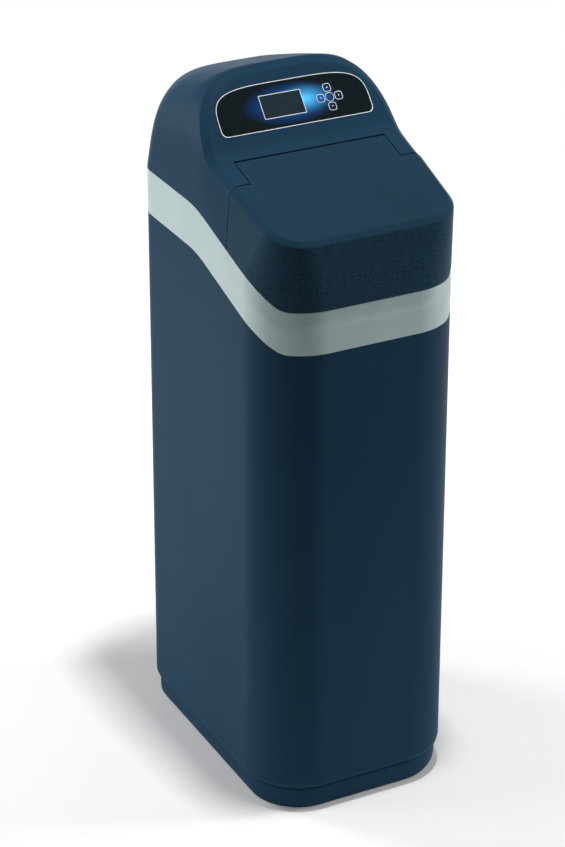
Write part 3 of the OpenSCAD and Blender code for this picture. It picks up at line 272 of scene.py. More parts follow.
def dress(piece, slot, *materials):
    """Puts materials on a piece, filling its material slots from the first on. The slot argument, naming the record's
    slot that they belong to (a CAD node has its own), is not used.
    """
    for i, material in enumerate(materials):
        if i < len(piece.data.materials):
            piece.data.materials[i] = material
        else:
            piece.data.materials.append(material)


OUTLINE, OUTWARD = plan_columns()
FRONT_Y, KNEE_Y, FLAT_Y = -218, -168, 25
RIM_TOP = bent_line([(-490, 897), (FRONT_Y, 897), (KNEE_Y, 934), (FLAT_Y, 990), (490, 990)], (30, 150, 250))
RIM_LOW = bent_line([(-490, 826), (FRONT_Y, 826), (KNEE_Y, 858), (FLAT_Y, 914), (490, 914)], (30, 150, 250))
lip = height(RIM_LOW, OUTLINE[:, 1])
ROLL_R, ROLL_TOP, STEP_Z = 20.0, 57.0, 41.6
roll_z = np.linspace(STEP_Z, ROLL_TOP, 12)
roll_in = ROLL_R - np.sqrt(ROLL_R**2 - (ROLL_TOP - roll_z)**2)
base = [(16, 0), (15.1, 0.4), (14, 1.6), (12.3, 4.2), (10.4, 7.2), (8.7, 10.6), (7.5, 14.6), (6.9, 19), (6.7, 28),
        (6.7, 36), (6.9, 38.2), (7.6, 39.6), (8.6, 40.2), (8.9, 40.8), (8.4, 41.3)]
wall = [(0, ROLL_TOP + f*(lip - 1.2 - ROLL_TOP)) for f in (0.15, 0.35, 0.6, 0.85, 1)]
edge = [(0.35, lip - 0.35), (1.2, lip), (2.6, lip), (3.25, lip - 0.25), (3.5, lip - 0.9)]
bin_profile = base + list(zip(roll_in, roll_z)) + wall + edge + [(3.5, 44), (17.5, 44), (17.5, 5)]
count = len(OUTLINE)
last = (len(bin_profile) - 1)*count
cabinet = make("salt_cabinet", rings(OUTLINE, OUTWARD, bin_profile),
               quads(len(bin_profile), count, wrap=True)
               + [list(range(count))[::-1], list(range(last, last + count))], "softener")
OVERFLOW_X, OVERFLOW_Z, OVERFLOW_R = -95, 800, 11
bore(cabinet, OVERFLOW_X, OVERFLOW_Z, OVERFLOW_R)
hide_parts("cabinet")
CABINET_BLUE = ink(33, 61, 81)
dress(cabinet, "cabinet_plastic", moulded("cabinet_satin", CABINET_BLUE, 0.42, 0.015))

# Rim: the light grey moulded band between cabinet and hood. Its tongues drop into the cabinet and rise into
# the hood, and at the front its upper half leans in under the lid, above a soft crease.
rim_y = OUTLINE[:, 1]
top, low = height(RIM_TOP, rim_y), height(RIM_LOW, rim_y)
CREASE, LEAN, LEAN_Y, LEAN_RUN = 31, 2.7, -130, 70
TONGUE, NO_TONGUE = 8, 0.05


def ease(v):
    """Smooth step from 0 to 1."""
    v = np.clip(v, 0, 1)
    return v*v*(3 - 2*v)


lean = LEAN*ease((LEAN_Y - rim_y)/LEAN_RUN)
at_port = (rim_y > REAR_C[1]) & (np.abs(OUTLINE[:, 0]) < PORT_HALF + 0.4)
tongue = np.where(at_port, NO_TONGUE, TONGUE)
band = [(0.9, low), (0.25, low + 0.25), (0, low + 0.9), (0, top - CREASE - 2), (0.01*lean, top - CREASE - 0.7),
        (0.04*lean, top - CREASE + 0.7), (0.09*lean, top - CREASE + 2), (0.95*lean, top - 1), (lean + 0.25, top - 0.3),
        (lean + 0.9, top), (3.8, top), (3.8, top + tongue), (6.3, top + tongue), (6.3, top - TONGUE),
        (5.5, top - TONGUE), (5.5, low + TONGUE), (6.8, low + TONGUE), (6.8, low - TONGUE), (4.3, low - TONGUE),
        (4.3, low)]
loop = band + band[:1]
rim = make("grey_rim", rings(OUTLINE, OUTWARD, loop), quads(len(loop), count, wrap=True), "softener", weld=0.001)
GLAND_X, GLAND_Z, GLAND_R = 95, 952, 6.5
bore(rim, GLAND_X, GLAND_Z, GLAND_R)
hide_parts("rim")
RIM_GREY = ink(169, 190, 189)
dress(rim, "rim_plastic", moulded("rim_satin", RIM_GREY, 0.4, 0.4))

# Hood: the fixed rear cover, a 3 mm moulded shell that arches over the valve. Its face slopes back for the
# control panel and swoops out into two shoulders beside the lid; a flat bevel runs round the face.
HOOD_TOP, ARCH_Z, ARCH_POWER = 1185.8, 992.0, 3.75
LID_TILT, FACE_TILT = np.radians(17), np.radians(50)
LID_SLOPE, FACE_SLOPE = np.tan(LID_TILT), np.tan(FACE_TILT)
FOLD_Y, FOLD_Z, SWOOP_R = -18.0, 1080.0, 60.0
SEAM_Y, SEAM_X, CUT_Y = -86.0, 133.6, -30.9
BEVEL_BACK, BEVEL_IN, SOFT = 9.0, 9.5, 1.4
SEAT = 0.3
PROFILE = bent_line([(-300, FOLD_Z + (-300 - FOLD_Y)*LID_SLOPE), (FOLD_Y, FOLD_Z),
                     (110, FOLD_Z + (110 - FOLD_Y)*FACE_SLOPE)], (SWOOP_R,))
PROFILE_S = np.insert(np.cumsum(np.hypot(*np.diff(PROFILE, axis=0).T)), 0, 0)


def half_width(y):
    """Half the width of the body at depth y, along the drawn-in side."""
    return HALF_W - SIDE_DRAW*np.clip((y - FRONT_C[1])/SIDE_RUN[1], 0, 1)


TUCK, TUCK_Y, TUCK_RUN = 0.07, 20.0, 106.0


def tuck(y, z):
    """How far the wall leans in above the rim: in step with the height, fading out behind the shoulders."""
    return TUCK*np.maximum(z - height(RIM_TOP, y), 0)*ease((TUCK_Y - y)/TUCK_RUN)


def power(v, p):
    """Sine or cosine values to the power that makes a superellipse."""
    return np.clip(v, 0, 1)**(2/p)


def arch(t, p=ARCH_POWER):
    """Share of the width and of the height at angle t of the hood's arch, a superellipse."""
    return power(np.cos(t), p), power(np.sin(t), p)


def shifted(a, b, distance):
    """A plane curve moved sideways, to the left of its direction, by a distance."""
    da, db = np.gradient(a), np.gradient(b)
    size = np.hypot(da, db)
    return a - distance*db/size, b + distance*da/size


# Virtual edge where the arch would meet the sloping face, as a function of the arch's angle.
angle = np.linspace(0.05, np.pi/2, 6000)
share_x, share_z = arch(angle)
edge_z = ARCH_Z + (HOOD_TOP - ARCH_Z)*share_z
edge_y = np.interp(edge_z, PROFILE[:, 1], PROFILE[:, 0])
edge_x = (half_width(edge_y) - tuck(edge_y, edge_z))*share_x
edge_s = np.interp(edge_y, PROFILE[:, 0], PROFILE_S)
girth = np.insert(np.cumsum(np.hypot(np.diff(half_width(0)*share_x), np.diff(edge_z))), 0, 0)


def on_arch(distance):
    """The edge moved back over the arch by a distance, measured on the arch laid flat: angle and depth."""
    g, y = shifted(girth, edge_y, distance)
    return np.interp(g, girth, angle), y


def on_face(distance):
    """The edge moved in over the face by a distance, measured on the face laid flat: across and up the slope."""
    return shifted(edge_x, edge_s, distance)


def from_seam(y, share):
    """Positions along a curve that starts at the seam, for shares of the face's own curve."""
    start = np.interp(SEAM_Y, y, np.arange(len(y)))
    return share - (share[0] - start)*np.clip(1 - np.arange(len(share))/24, 0, 1)


def pick(values, positions):
    """Values between the points of a curve, by straight lines from point to point."""
    return np.interp(positions, np.arange(len(values)), values)


def to_depth(s):
    """Depth and height of the front profile at a length along it."""
    return np.interp(s, PROFILE_S, PROFILE[:, 0]), np.interp(s, PROFILE_S, PROFILE[:, 1])


inner_x, inner_s = on_face(BEVEL_IN + SOFT)
SHOULDER, SWOOP, SLOPE = 40, 26, 134
SWOOP_END = FOLD_Y + SWOOP_R*np.tan((FACE_TILT - LID_TILT)/2)*np.cos(FACE_TILT)
stops = np.interp(np.interp((SEAM_Y, CUT_Y, SWOOP_END), PROFILE[:, 0], PROFILE_S), inner_s, np.arange(len(inner_s)))
walked = np.insert(np.cumsum(np.hypot(np.diff(inner_x), np.diff(inner_s))), 0, 0)
marks = np.append(pick(walked, stops), walked[-1])
steps = np.concatenate([np.linspace(a, b, k, endpoint=False)
                        for a, b, k in zip(marks, marks[1:], (SHOULDER, SWOOP, SLOPE))] + [marks[-1:]])
station = np.interp(steps, walked, np.arange(len(walked)))


def arch_curve(distance):
    """Points of the edge moved back over the arch, from the seam to the top, and their arch angles."""
    t, y = on_arch(distance)
    where = from_seam(y, station)
    t, y = pick(t, where), pick(y, where)
    w, h = arch(t)
    z = ARCH_Z + (HOOD_TOP - ARCH_Z)*h
    return np.column_stack([(half_width(y) - tuck(y, z))*w, y, z]), t


def face_curve(distance):
    """Points of the edge moved in over the face, from the seam to the top."""
    x, s = on_face(distance)
    where = from_seam(to_depth(s)[0], station)
    y, z = to_depth(pick(s, where))
    return np.column_stack([np.maximum(pick(x, where), 0), y, z])


def rounded(a, corner, b, steps=4):
    """A corner of a section made round: the curve from a to b that the corner pulls towards itself."""
    w = np.linspace(0, 1, steps)[:, None, None]
    return (1 - w)**2*a + 2*w*(1 - w)*corner + w**2*b


def both_sides(half):
    """Rows of a right half, from the seam up to the middle, carried on down the left half."""
    return np.concatenate([half, (half*np.array((-1, 1, 1)))[..., -2::-1, :]], axis=-2)


def bevel_rows(outer, edge_a, edge_b, inner, part=0.2):
    """Section of the bevel along its length: round into it, flat across it, round out of it."""
    return np.concatenate([rounded(outer, edge_a, edge_a + part*(edge_b - edge_a)),
                           rounded(edge_b + part*(edge_a - edge_b), edge_b, inner)])


arch_start, arch_angle = arch_curve(BEVEL_BACK + SOFT)
bevel_back, bevel_in = arch_curve(BEVEL_BACK)[0], face_curve(BEVEL_IN)
face_edge = face_curve(BEVEL_IN + SOFT)
bevel = both_sides(bevel_rows(arch_start, bevel_back, bevel_in, face_edge))

# Arch columns of the right half: straight wall up from the rim, wall above it at the seam, then the bevel's edge.
FOOT = np.linspace(0, 1, 5)[:-1]
seam_z = np.linspace(0, 1, 13)[:-1]*(arch_start[0, 2] - ARCH_Z)/(HOOD_TOP - ARCH_Z)
column_angle = np.concatenate([np.zeros(len(FOOT)), np.arcsin(seam_z**(ARCH_POWER/2)), arch_angle])
front_y = np.concatenate([np.full(len(FOOT) + len(seam_z), SEAM_Y), arch_start[:, 1]])
MID_Y, REAR_POWER, REAR_PACE, REAR_DRAW = 84.0, 3.95, 1.8, 1.2
CROWN_FALL, CROWN_END, CROWN_R, NOTCH_Z = np.tan(np.radians(16.9)), 241.7, 41.0, 1042.0


def arch_row(half, y_low, y_top, z_top, p=ARCH_POWER, draw=0.0):
    """One arch of the hood: width and height follow a superellipse, depth goes from the foot's to the crown's in
    step with the height, and the straight foot reaches down to the rim."""
    w, h = arch(column_angle, p)
    z = ARCH_Z + (z_top - ARCH_Z)*h
    y = y_low + (y_top - y_low)*h
    rim_z = height(RIM_TOP, y[:len(FOOT)]) + SEAT
    z[:len(FOOT)] = rim_z + FOOT*(ARCH_Z - rim_z)
    return np.column_stack([(half - draw*h - tuck(y, z))*w, y, z])


straight = [arch_row(half_width(y), y, y, HOOD_TOP)
            for y in (front_y + v*(MID_Y - front_y) for v in np.linspace(0, 1, 27))]
rear_arc = arc(REAR_C, REAR_R, SIDE, np.pi/2, 60)[0]
foot_path = np.vstack([[(half_width(MID_Y), MID_Y)], rear_arc, [(PORT_HALF, HALF_D)]])
crown = bent_line([(MID_Y, HOOD_TOP), (CROWN_END, HOOD_TOP - (CROWN_END - MID_Y)*CROWN_FALL), (HALF_D, ARCH_Z)],
                  (CROWN_R,))
crown[-1] = crown[-2] + (crown[-1] - crown[-2])*(crown[-2, 1] - NOTCH_Z)/(crown[-2, 1] - ARCH_Z)


def along(path, share):
    """Points at shares of a path's length."""
    s = np.insert(np.cumsum(np.hypot(*np.diff(path, axis=0).T)), 0, 0)
    return np.column_stack([np.interp(share*s[-1], s, path[:, 0]), np.interp(share*s[-1], s, path[:, 1])])


share = np.linspace(0, 1, 45)[1:-1]
closing = [arch_row(f[0], f[1], c[0], c[1], ARCH_POWER + k*(REAR_POWER - ARCH_POWER), REAR_DRAW*min(1, 2*k))
           for f, c, k in zip(along(foot_path, share), along(crown, share**REAR_PACE), share)]
NOTCH_LOW = height(RIM_TOP, HALF_D) + SEAT


def notch_edge(row):
    """The last arch drawn straight towards the notch's lower middle until it meets the notch's side or top."""
    x, z = row[:, 0], row[:, 2] - NOTCH_LOW
    by_side, by_top = PORT_HALF/np.maximum(x, 1e-6), (NOTCH_Z - NOTCH_LOW)/np.maximum(z, 1e-6)
    scale = np.minimum(by_side, by_top)
    edge = np.column_stack([x*scale, row[:, 1], NOTCH_LOW + z*scale])
    edge[np.argmax(by_top < by_side), ::2] = PORT_HALF, NOTCH_Z
    return edge


shell = both_sides(np.array(straight + closing + [notch_edge(closing[-1])]))

# Face: shoulders beside the lid's tab, the swoop across, and the panel's plane with its opening.
PLATE_HALF, PLATE_LOW, PLATE_H, PLATE_POWER, PLATE_CORNER, PLAY = 135.0, 29.7, 79.0, 4.2, 10.0, 0.2


def plate_outline(grow, steps=90):
    """Outline of the control panel in its own plane, across and up the slope: round lower corners and a
    superellipse arch above, grown by a distance."""
    half, low = PLATE_HALF + grow, PLATE_LOW - grow + PLATE_CORNER
    foot = arc(np.array((half - PLATE_CORNER, low)), PLATE_CORNER, -np.pi/2, 0, 14)[0]
    a = np.linspace(0, np.pi/2, steps)[1:]
    rise = PLATE_LOW + PLATE_H + grow - low
    bow = np.column_stack([half*power(np.cos(a), PLATE_POWER), low + rise*power(np.sin(a), PLATE_POWER)])
    side = np.vstack([foot, bow])
    return np.vstack([side, (side*np.array((-1, 1)))[-2::-1]])


def on_panel(flat, proud=0.0):
    """Points of the panel's plane, across and up the slope, raised by proud out of the plane."""
    flat = np.asarray(flat, float)
    c, s = np.cos(FACE_TILT), np.sin(FACE_TILT)
    return np.column_stack([flat[:, 0], FOLD_Y + c*flat[:, 1] - s*proud, FOLD_Z + s*flat[:, 1] + c*proud])


bay_x = np.linspace(-SEAM_X, SEAM_X, 43)
shoulder = np.stack([face_edge[:SHOULDER + 1], face_edge[:SHOULDER + 1].copy()], axis=1)
shoulder[:, 1, 0] = SEAM_X
swoop_rows = face_edge[SHOULDER:SHOULDER + SWOOP + 1]
across = np.column_stack([swoop_rows[:, 0], np.repeat([bay_x[::-1]], SWOOP + 1, axis=0), -swoop_rows[:, 0]])
swoop = np.stack([across, *(np.repeat(swoop_rows[:, i:i + 1], across.shape[1], axis=1) for i in (1, 2))], -1)
slope_edge = face_edge[SHOULDER + SWOOP:]
outer = np.vstack([swoop[-1, ::-1], both_sides(slope_edge)[1:-1]])
outer_flat = np.column_stack([outer[:, 0], (outer[:, 1] - FOLD_Y)/np.cos(FACE_TILT)])
EYE_S = 60.0


def bearing(flat):
    """Direction and distance of points of the panel's plane, seen from the middle of the panel."""
    return np.arctan2(flat[:, 1] - EYE_S, flat[:, 0]), np.hypot(flat[:, 0], flat[:, 1] - EYE_S)


hole = plate_outline(PLAY, 400)
sill = np.linspace(hole[-1], hole[0], 200)[1:-1]
hole = np.vstack([hole, sill])
hole_a, hole_r = bearing(hole)
outer_a = bearing(outer_flat)[0]
order = np.argsort(hole_a)
reach = np.interp(outer_a, hole_a[order], hole_r[order], period=2*np.pi)
rim_flat = np.column_stack([reach*np.cos(outer_a), EYE_S + reach*np.sin(outer_a)])
frame_rows = np.stack([outer, on_panel(rim_flat)])

blocks, faces, base_n = [], [], 0
mirror_x = np.array((-1, 1, 1))
for grid, wrap, flip in ((shell, False, True), (bevel, False, False), (shoulder, False, True),
                         (shoulder*mirror_x, False, False), (swoop, False, True), (frame_rows, True, False)):
    rows, cols = grid.shape[:2]
    faces += (np.array(quads(rows, cols, wrap, flip)) + base_n).tolist()
    blocks.append(grid.reshape(-1, 3))
    base_n += rows*cols


def give_wall(piece, thickness=3, crisp=26):
    """Turns an outer skin into a moulded shell: a wall of even thickness, in millimetres, on its inner side."""
    skin = piece.modifiers.new("wall", "SOLIDIFY")
    skin.thickness = thickness/1000
    skin.offset = -1
    skin.use_quality_normals = True
    settle(piece, crisp)


hood = make("rear_hood", np.vstack(blocks), faces, "softener", weld=0.01)
give_wall(hood)
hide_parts("top_cover")
HOOD_BLUE = ink(32, 60, 81)
dress(hood, "hood_plastic", moulded("hood_satin", HOOD_BLUE, 0.4, 0.015))

# Salt lid: a 3 mm moulded shell with a flat satin top, a flat bevel and a coarse-grained upright wall, whose grain is
# coloured darker in its pits and lighter on its raised specks as painted shade and painted glints.
# A tab reaches back between the hood's shoulders and ends in the hinge barrel.
LID_SEAM_Y, TAB_X, TAB_Y = -88.0, 132.2, -34.34
HINGE_Z, BARREL_R = 1071.868, 3.0
in_lid = OUTLINE[:, 1] < LID_SEAM_Y
right_half = np.arange(count)[:count//2 + 1]
wall_xy = OUTLINE[right_half][in_lid[right_half]]
wall_n = OUTWARD[right_half][in_lid[right_half]]
seam_at = half_width(LID_SEAM_Y)
wall_xy = np.vstack([wall_xy, [(seam_at, LID_SEAM_Y)]])[::-1]
wall_n = np.vstack([wall_n, wall_n[-1:]])[::-1]


def lid_plane(y):
    """Height of the lid's flat top at depth y."""
    return FOLD_Z + (y - FOLD_Y)*LID_SLOPE


BRINK_SEAM, BRINK_HALF, BRINK_FRONT, BRINK_R = 169.5, 164.0, 242.0, 60.0
side_share = np.clip((LID_SEAM_Y - wall_xy[:, 1])/(LID_SEAM_Y - FRONT_C[1]), 0, 1)[:, None]
brink_c = np.array((BRINK_HALF - BRINK_R, BRINK_R - BRINK_FRONT))
brink_side = np.array((BRINK_SEAM, LID_SEAM_Y)) + side_share*(brink_c + BRINK_R*wall_n[1] - (BRINK_SEAM, LID_SEAM_Y))
brink_ahead = wall_xy*np.array((brink_c[0]/FRONT_C[0], BRINK_FRONT/HALF_D))
brink_xy = np.where(side_share < 1, brink_side, brink_c + BRINK_R*wall_n)
brink_xy = np.where(wall_xy[:, :1] < FRONT_C[0], brink_ahead, brink_xy)


def lid_row(share, z):
    """Points of the lid's wall at a height, a share of the way from its foot's outline to its brink's, whose
    corners are tighter."""
    return np.column_stack([wall_xy + np.reshape(share, (-1, 1))*(brink_xy - wall_xy), z])


def flat_row(inset):
    """Points of the lid's flat top, the brink's outline drawn in by inset."""
    xy = brink_xy - np.reshape(inset, (-1, 1))*wall_n
    xy[0, 1] = LID_SEAM_Y
    return np.column_stack([xy, lid_plane(xy[:, 1])])


lid_low = height(RIM_TOP, wall_xy[:, 1]) + SEAT
BRINK_DROP, SIDE_DROP, SEAM_BEVEL, LID_BEVEL = 6.5, 1.8, 9.5, 8.0
brink = lid_plane(brink_xy[:, 1]) - BRINK_DROP - SIDE_DROP*wall_n[:, 0]**2
lid_bevel = SEAM_BEVEL + (LID_BEVEL - SEAM_BEVEL)*side_share[:, 0]
foot = np.column_stack([wall_xy, lid_low])
tucked = np.column_stack([wall_n, np.zeros(len(wall_n))])
FOOT_ROUND = ((0.7, 0), (0.15, 0.25), (0, 0.9))
upright = [foot - inset*tucked + (0, 0, rise) for inset, rise in FOOT_ROUND]
upright += [lid_row(f, lid_low + f*(brink - lid_low)) for f in (0.2, 0.4, 0.6, 0.8)]
chamfer = bevel_rows(lid_row(1 - SOFT/(brink - lid_low), brink - SOFT), lid_row(1, brink),
                     flat_row(lid_bevel), flat_row(lid_bevel + SOFT))
lid_rows = both_sides(np.concatenate([np.array(upright), chamfer]))
rows, cols = lid_rows.shape[:2]
tab = np.array([(-TAB_X, LID_SEAM_Y), (-TAB_X, TAB_Y), (TAB_X, TAB_Y), (TAB_X, LID_SEAM_Y)])
tab = np.column_stack([tab, lid_plane(tab[:, 1])])
plateau = list(range((rows - 1)*cols, rows*cols + 4))
lid = make("hinged_salt_lid", np.vstack([lid_rows.reshape(-1, 3), tab]),
           quads(rows, cols, flip=True) + [plateau[::-1]], "lid", weld=0.001)
grained = len(upright)*(cols - 1)
lid.data.polygons.foreach_set("material_index", np.repeat((1, 0), (grained, len(lid.data.polygons) - grained)))
give_wall(lid)
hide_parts("salt_lid")
LID_BLUE = ink(32, 59, 77)
lid_satin = moulded("lid_satin", LID_BLUE, 0.38, 0.015)
lid_grain_painted_light, tree, shader, place = finish_of("lid_grain_painted_light", ink(31, 56, 73), 0.45, 0.02)
grain_with_painted_light = noise(tree, place, 560, 2)
# Painted shade and painted glints: the grain's pits are coloured darker and its raised specks much lighter.
tint(tree, shader, grain_with_painted_light, ink(27, 51, 67), ink(48, 79, 98), 0.42, 0.72)
gloss(tree, shader, grain_with_painted_light, 0.5, 0.34)
emboss(tree, shader, grain_with_painted_light, 0.15)
dress(lid, "lid_plastic", lid_satin, lid_grain_painted_light)

# Hinge barrel: the thick round rear edge of the lid's tab, moulded with the lid.
# It turns on two pins, one at each end.
BARREL_STEPS = 32
a = np.linspace(0, 2*np.pi, BARREL_STEPS, endpoint=False)
circle = np.column_stack([TAB_Y + BARREL_R*np.cos(a), HINGE_Z + BARREL_R*np.sin(a)])
barrel_ends = [np.insert(circle, 0, x, axis=1) for x in (-TAB_X, TAB_X)]
barrel = make("lid_barrel", np.vstack(barrel_ends), prism(BARREL_STEPS), "lid")
settle(barrel)
dress(barrel, "lid_plastic", lid_satin)

# Hinge cheeks: two lugs moulded under the hood's shoulders, just outside the lid's tab, that hold the pins.
# Their upper edge follows the underside of the shoulder.
CHEEK_T, CHEEK_LOW, CHEEK_GAP = 7.0, HINGE_Z - 9, 2.6
cheek_y = np.linspace(TAB_Y - 9, TAB_Y + 21, 16)
cheek_top = np.column_stack([cheek_y, height(PROFILE, cheek_y) - CHEEK_GAP])
cheek_side = np.vstack([cheek_top, [(cheek_y[-1], CHEEK_LOW), (cheek_y[0], CHEEK_LOW)]])
for name, x in (("hinge_cheek_left", -SEAM_X - CHEEK_T), ("hinge_cheek_right", SEAM_X)):
    walls = [np.insert(cheek_side, 0, v, axis=1) for v in (x, x + CHEEK_T)]
    cheek = make(name, np.vstack(walls), prism(len(cheek_side), flip=True), "softener")
    settle(cheek)
    dress(cheek, "hood_plastic", hood.data.materials[0])

# Control panel: a gloss black plastic plate that snaps into the hood's face from behind, with a blue glow printed
# on its back. The print also glows by itself, as painted light with no lamp behind it. It keeps its solid; the glow
# is two soft ellipses laid in the panel's own plane.
PROUD, PAINTED_GLOW = 0.6, 0.3
panel_gloss, tree, shader, place = finish_of("panel_gloss", ink(11, 19, 24), 0.16, 0.05)


def reckon(tree, operation, a, b):
    """One step of arithmetic between two values, either of which may be a plain number."""
    node = tree.nodes.new("ShaderNodeMath")
    node.operation = operation
    for socket, value in zip(node.inputs, (a, b)):
        if isinstance(value, (int, float)):
            socket.default_value = value
        else:
            tree.links.new(value, socket)
    return node.outputs["Value"]


def glow(tree, place, x, s, wide, tall, sharp):
    """A soft ellipse on the panel: 1 in its middle, falling to 0 at its edge, to a power."""
    mapping = tree.nodes.new("ShaderNodeMapping")
    mapping.vector_type = "TEXTURE"
    mapping.inputs["Location"].default_value = on_panel([(x, s)], PROUD)[0]/1000
    mapping.inputs["Rotation"].default_value = (FACE_TILT, 0, 0)
    mapping.inputs["Scale"].default_value = (wide/1000, tall/1000, 0.02)
    ball = tree.nodes.new("ShaderNodeTexGradient")
    ball.gradient_type = "SPHERICAL"
    tree.links.new(place, mapping.inputs["Vector"])
    tree.links.new(mapping.outputs["Vector"], ball.inputs["Vector"])
    return reckon(tree, "POWER", ball.outputs["Fac"], sharp)


def blend_in(tree, under, value, colour):
    """Lays a colour over what is under it, as strong as a value."""
    mix = tree.nodes.new("ShaderNodeMix")
    mix.data_type = "RGBA"
    tree.links.new(value, mix.inputs["Factor"])
    tree.links.new(under, mix.inputs[6])
    mix.inputs[7].default_value = colour
    return mix.outputs[2]


def colour_with_painted_glow(tree, shader, colour):
    """Gives a colour to the surface and makes the surface glow in it: painted light, as no lamp shines through it."""
    for socket in ("Base Color", "Emission Color"):
        tree.links.new(colour, shader.inputs[socket])
    shader.inputs["Emission Strength"].default_value = PAINTED_GLOW


ground = tint(tree, shader, noise(tree, place, 60, 3), ink(10, 18, 22), ink(13, 22, 27))
halo = blend_in(tree, ground, glow(tree, place, -2, 68, 88, 36, 1.1), ink(22, 84, 158))
spot = blend_in(tree, halo, glow(tree, place, 22, 71, 54, 28, 1.7), ink(86, 196, 255))
# The panel's print glows by itself: painted light.
colour_with_painted_glow(tree, shader, spot)
gloss(tree, shader, noise(tree, place, 300, 2), 0.13, 0.19)
dress(nodes["faceplate"], None, panel_gloss)

# Display: a smoked clear window over the liquid crystal module, held from behind by the plate.
# The dark cell shows through it as a faint grey field.
window, tree, shader, place = finish_of("display_glass", ink(28, 42, 51), 0.12, 0.05)
tint(tree, shader, noise(tree, place, 90, 2), ink(30, 45, 54), ink(35, 51, 60))
gloss(tree, shader, noise(tree, place, 250, 2), 0.1, 0.16)
dress(nodes["display_window"], None, window)

# Printed lines: pale ink on the panel, a line just inside its outline, a frame round the display and a border
# round each key. Each is a thin band with its own section, a tenth of a millimetre high.
DISPLAY_X, DISPLAY_S, DISPLAY_W, DISPLAY_H = -18.0, 68.1, 72.0, 38.0
CROSS_X, CROSS_S, PITCH, KEY_W, KEY_CORNER, OK_R = 65.8, 66.7, 16.0, 11.0, 2.6, 6.5
INK_LOW, INK_TOP = PROUD - 0.2, PROUD + 0.12


def box_outline(x, s, w, h, r, grow, steps=8):
    """A rectangle with round corners about a point of the panel, grown by a distance, anticlockwise."""
    w, h, r = w + 2*grow, h + 2*grow, r + grow
    corners = [arc(np.array((x + i*(w/2 - r), s + j*(h/2 - r))), r, a, a + np.pi/2, steps)[0]
               for i, j, a in ((1, -1, -np.pi/2), (1, 1, 0), (-1, 1, np.pi/2), (-1, -1, np.pi))]
    return np.vstack(corners)


def band_between(name, loops):
    """Flat rings on the panel: each is a rectangle section carried round between an outer and an inner outline."""
    blocks, faces, n = [], [], 0
    for outside, inside in loops:
        k = len(outside)
        section = ((outside, INK_LOW), (outside, INK_TOP), (inside, INK_TOP), (inside, INK_LOW), (outside, INK_LOW))
        blocks += [on_panel(flat, z) for flat, z in section]
        faces += (np.array(quads(5, k, wrap=True)) + n).tolist()
        n += 5*k
    ring = make(name, np.vstack(blocks), faces, "softener", weld=0.001)
    settle(ring)
    return ring


white_ink, tree, shader, place = finish_of("white_print", ink(236, 247, 251), 0.45, 0.1)
tint(tree, shader, noise(tree, place, 700, 3), ink(228, 240, 245), ink(240, 250, 253))
LINE_OUT, LINE_IN = -0.4, -1.5
outline_print = band_between("panel_outline", [(plate_outline(LINE_OUT), plate_outline(LINE_IN))])
display_print = band_between("display_frame", [[
    box_outline(DISPLAY_X, DISPLAY_S, DISPLAY_W, DISPLAY_H, corner, grow)
    for corner, grow in ((0.1, 1.1), (0.3, 0.1))]])
KEYS = {"up": (0, 1), "down": (0, -1), "left": (-1, 0), "right": (1, 0)}
borders = [[box_outline(CROSS_X + i*PITCH, CROSS_S + j*PITCH, KEY_W, KEY_W, KEY_CORNER, grow) for grow in (1.4, 0.4)]
           for i, j in KEYS.values()]
borders.append([box_outline(CROSS_X, CROSS_S, 2*OK_R, 2*OK_R, OK_R, grow) for grow in (1.3, 0.35)])
key_print = band_between("key_borders", borders)
for piece in (outline_print, display_print, key_print):
    dress(piece, "panel_gloss", white_ink)

# Keys: five gloss push buttons that spring back, moulded dark and standing 1 mm out of the panel. The outer four
# carry a small arrow, a raised triangle that moves with its key. On the near ones the panel's glow is painted as
# blue colour that glows by itself: painted light.
key_gloss, tree, shader, place = finish_of("key_gloss", ink(13, 24, 33), 0.25, 0.06)
ground = tint(tree, shader, noise(tree, place, 120, 2), ink(12, 21, 29), ink(16, 28, 38))
# Painted light: the panel's glow painted onto the near keys, glowing by itself.
painted_glow_keys = blend_in(tree, ground, glow(tree, place, CROSS_X - 26, CROSS_S + 2, 42, 26, 1.2), ink(34, 104, 184))
colour_with_painted_glow(tree, shader, painted_glow_keys)
gloss(tree, shader, noise(tree, place, 600, 2), 0.22, 0.3)
dress(nodes["button_ok"], None, key_gloss)
ARROW = np.array(((-1.7, -0.9), (1.7, -0.9), (0.2, 1.1), (-0.2, 1.1)))
ARROW_LOW, ARROW_TOP = PROUD + 0.9, PROUD + 1.12
for name, (i, j) in KEYS.items():
    dress(nodes["button_" + name], None, key_gloss)
    spin = np.array(((j, i), (-i, j)))
    flat = ARROW @ spin.T + (CROSS_X + i*PITCH, CROSS_S + j*PITCH)
    points = np.vstack([on_panel(flat, ARROW_LOW), on_panel(flat, ARROW_TOP)])
    arrow = make("arrow_" + name, points, prism(len(flat)), "key_" + name)
    settle(arrow)
    dress(arrow, "key", white_ink)

# Electronics: the liquid crystal module, the green control board with its switches and screws, and the lead to
# the motor, all behind the panel and out of sight.
module = moulded("display_module_grey", (0.05, 0.07, 0.06, 1), 0.5, 0.3)
dress(nodes["display_module"], None, module)
board, tree, shader, place = finish_of("solder_resist", (0.012, 0.09, 0.035, 1), 0.35, 0.4)
tracks = tree.nodes.new("ShaderNodeTexBrick")
tracks.inputs["Scale"].default_value = 160
tracks.inputs["Color1"].default_value = (0.012, 0.09, 0.035, 1)
tracks.inputs["Color2"].default_value = (0.016, 0.11, 0.045, 1)
tracks.inputs["Mortar"].default_value = (0.03, 0.2, 0.09, 1)
tracks.inputs["Mortar Size"].default_value = 0.03
tree.links.new(place, tracks.inputs["Vector"])
tree.links.new(tracks.outputs["Color"], shader.inputs["Base Color"])
emboss(tree, shader, tracks.outputs["Fac"], 0.04)
dress(nodes["control_board"], None, board)

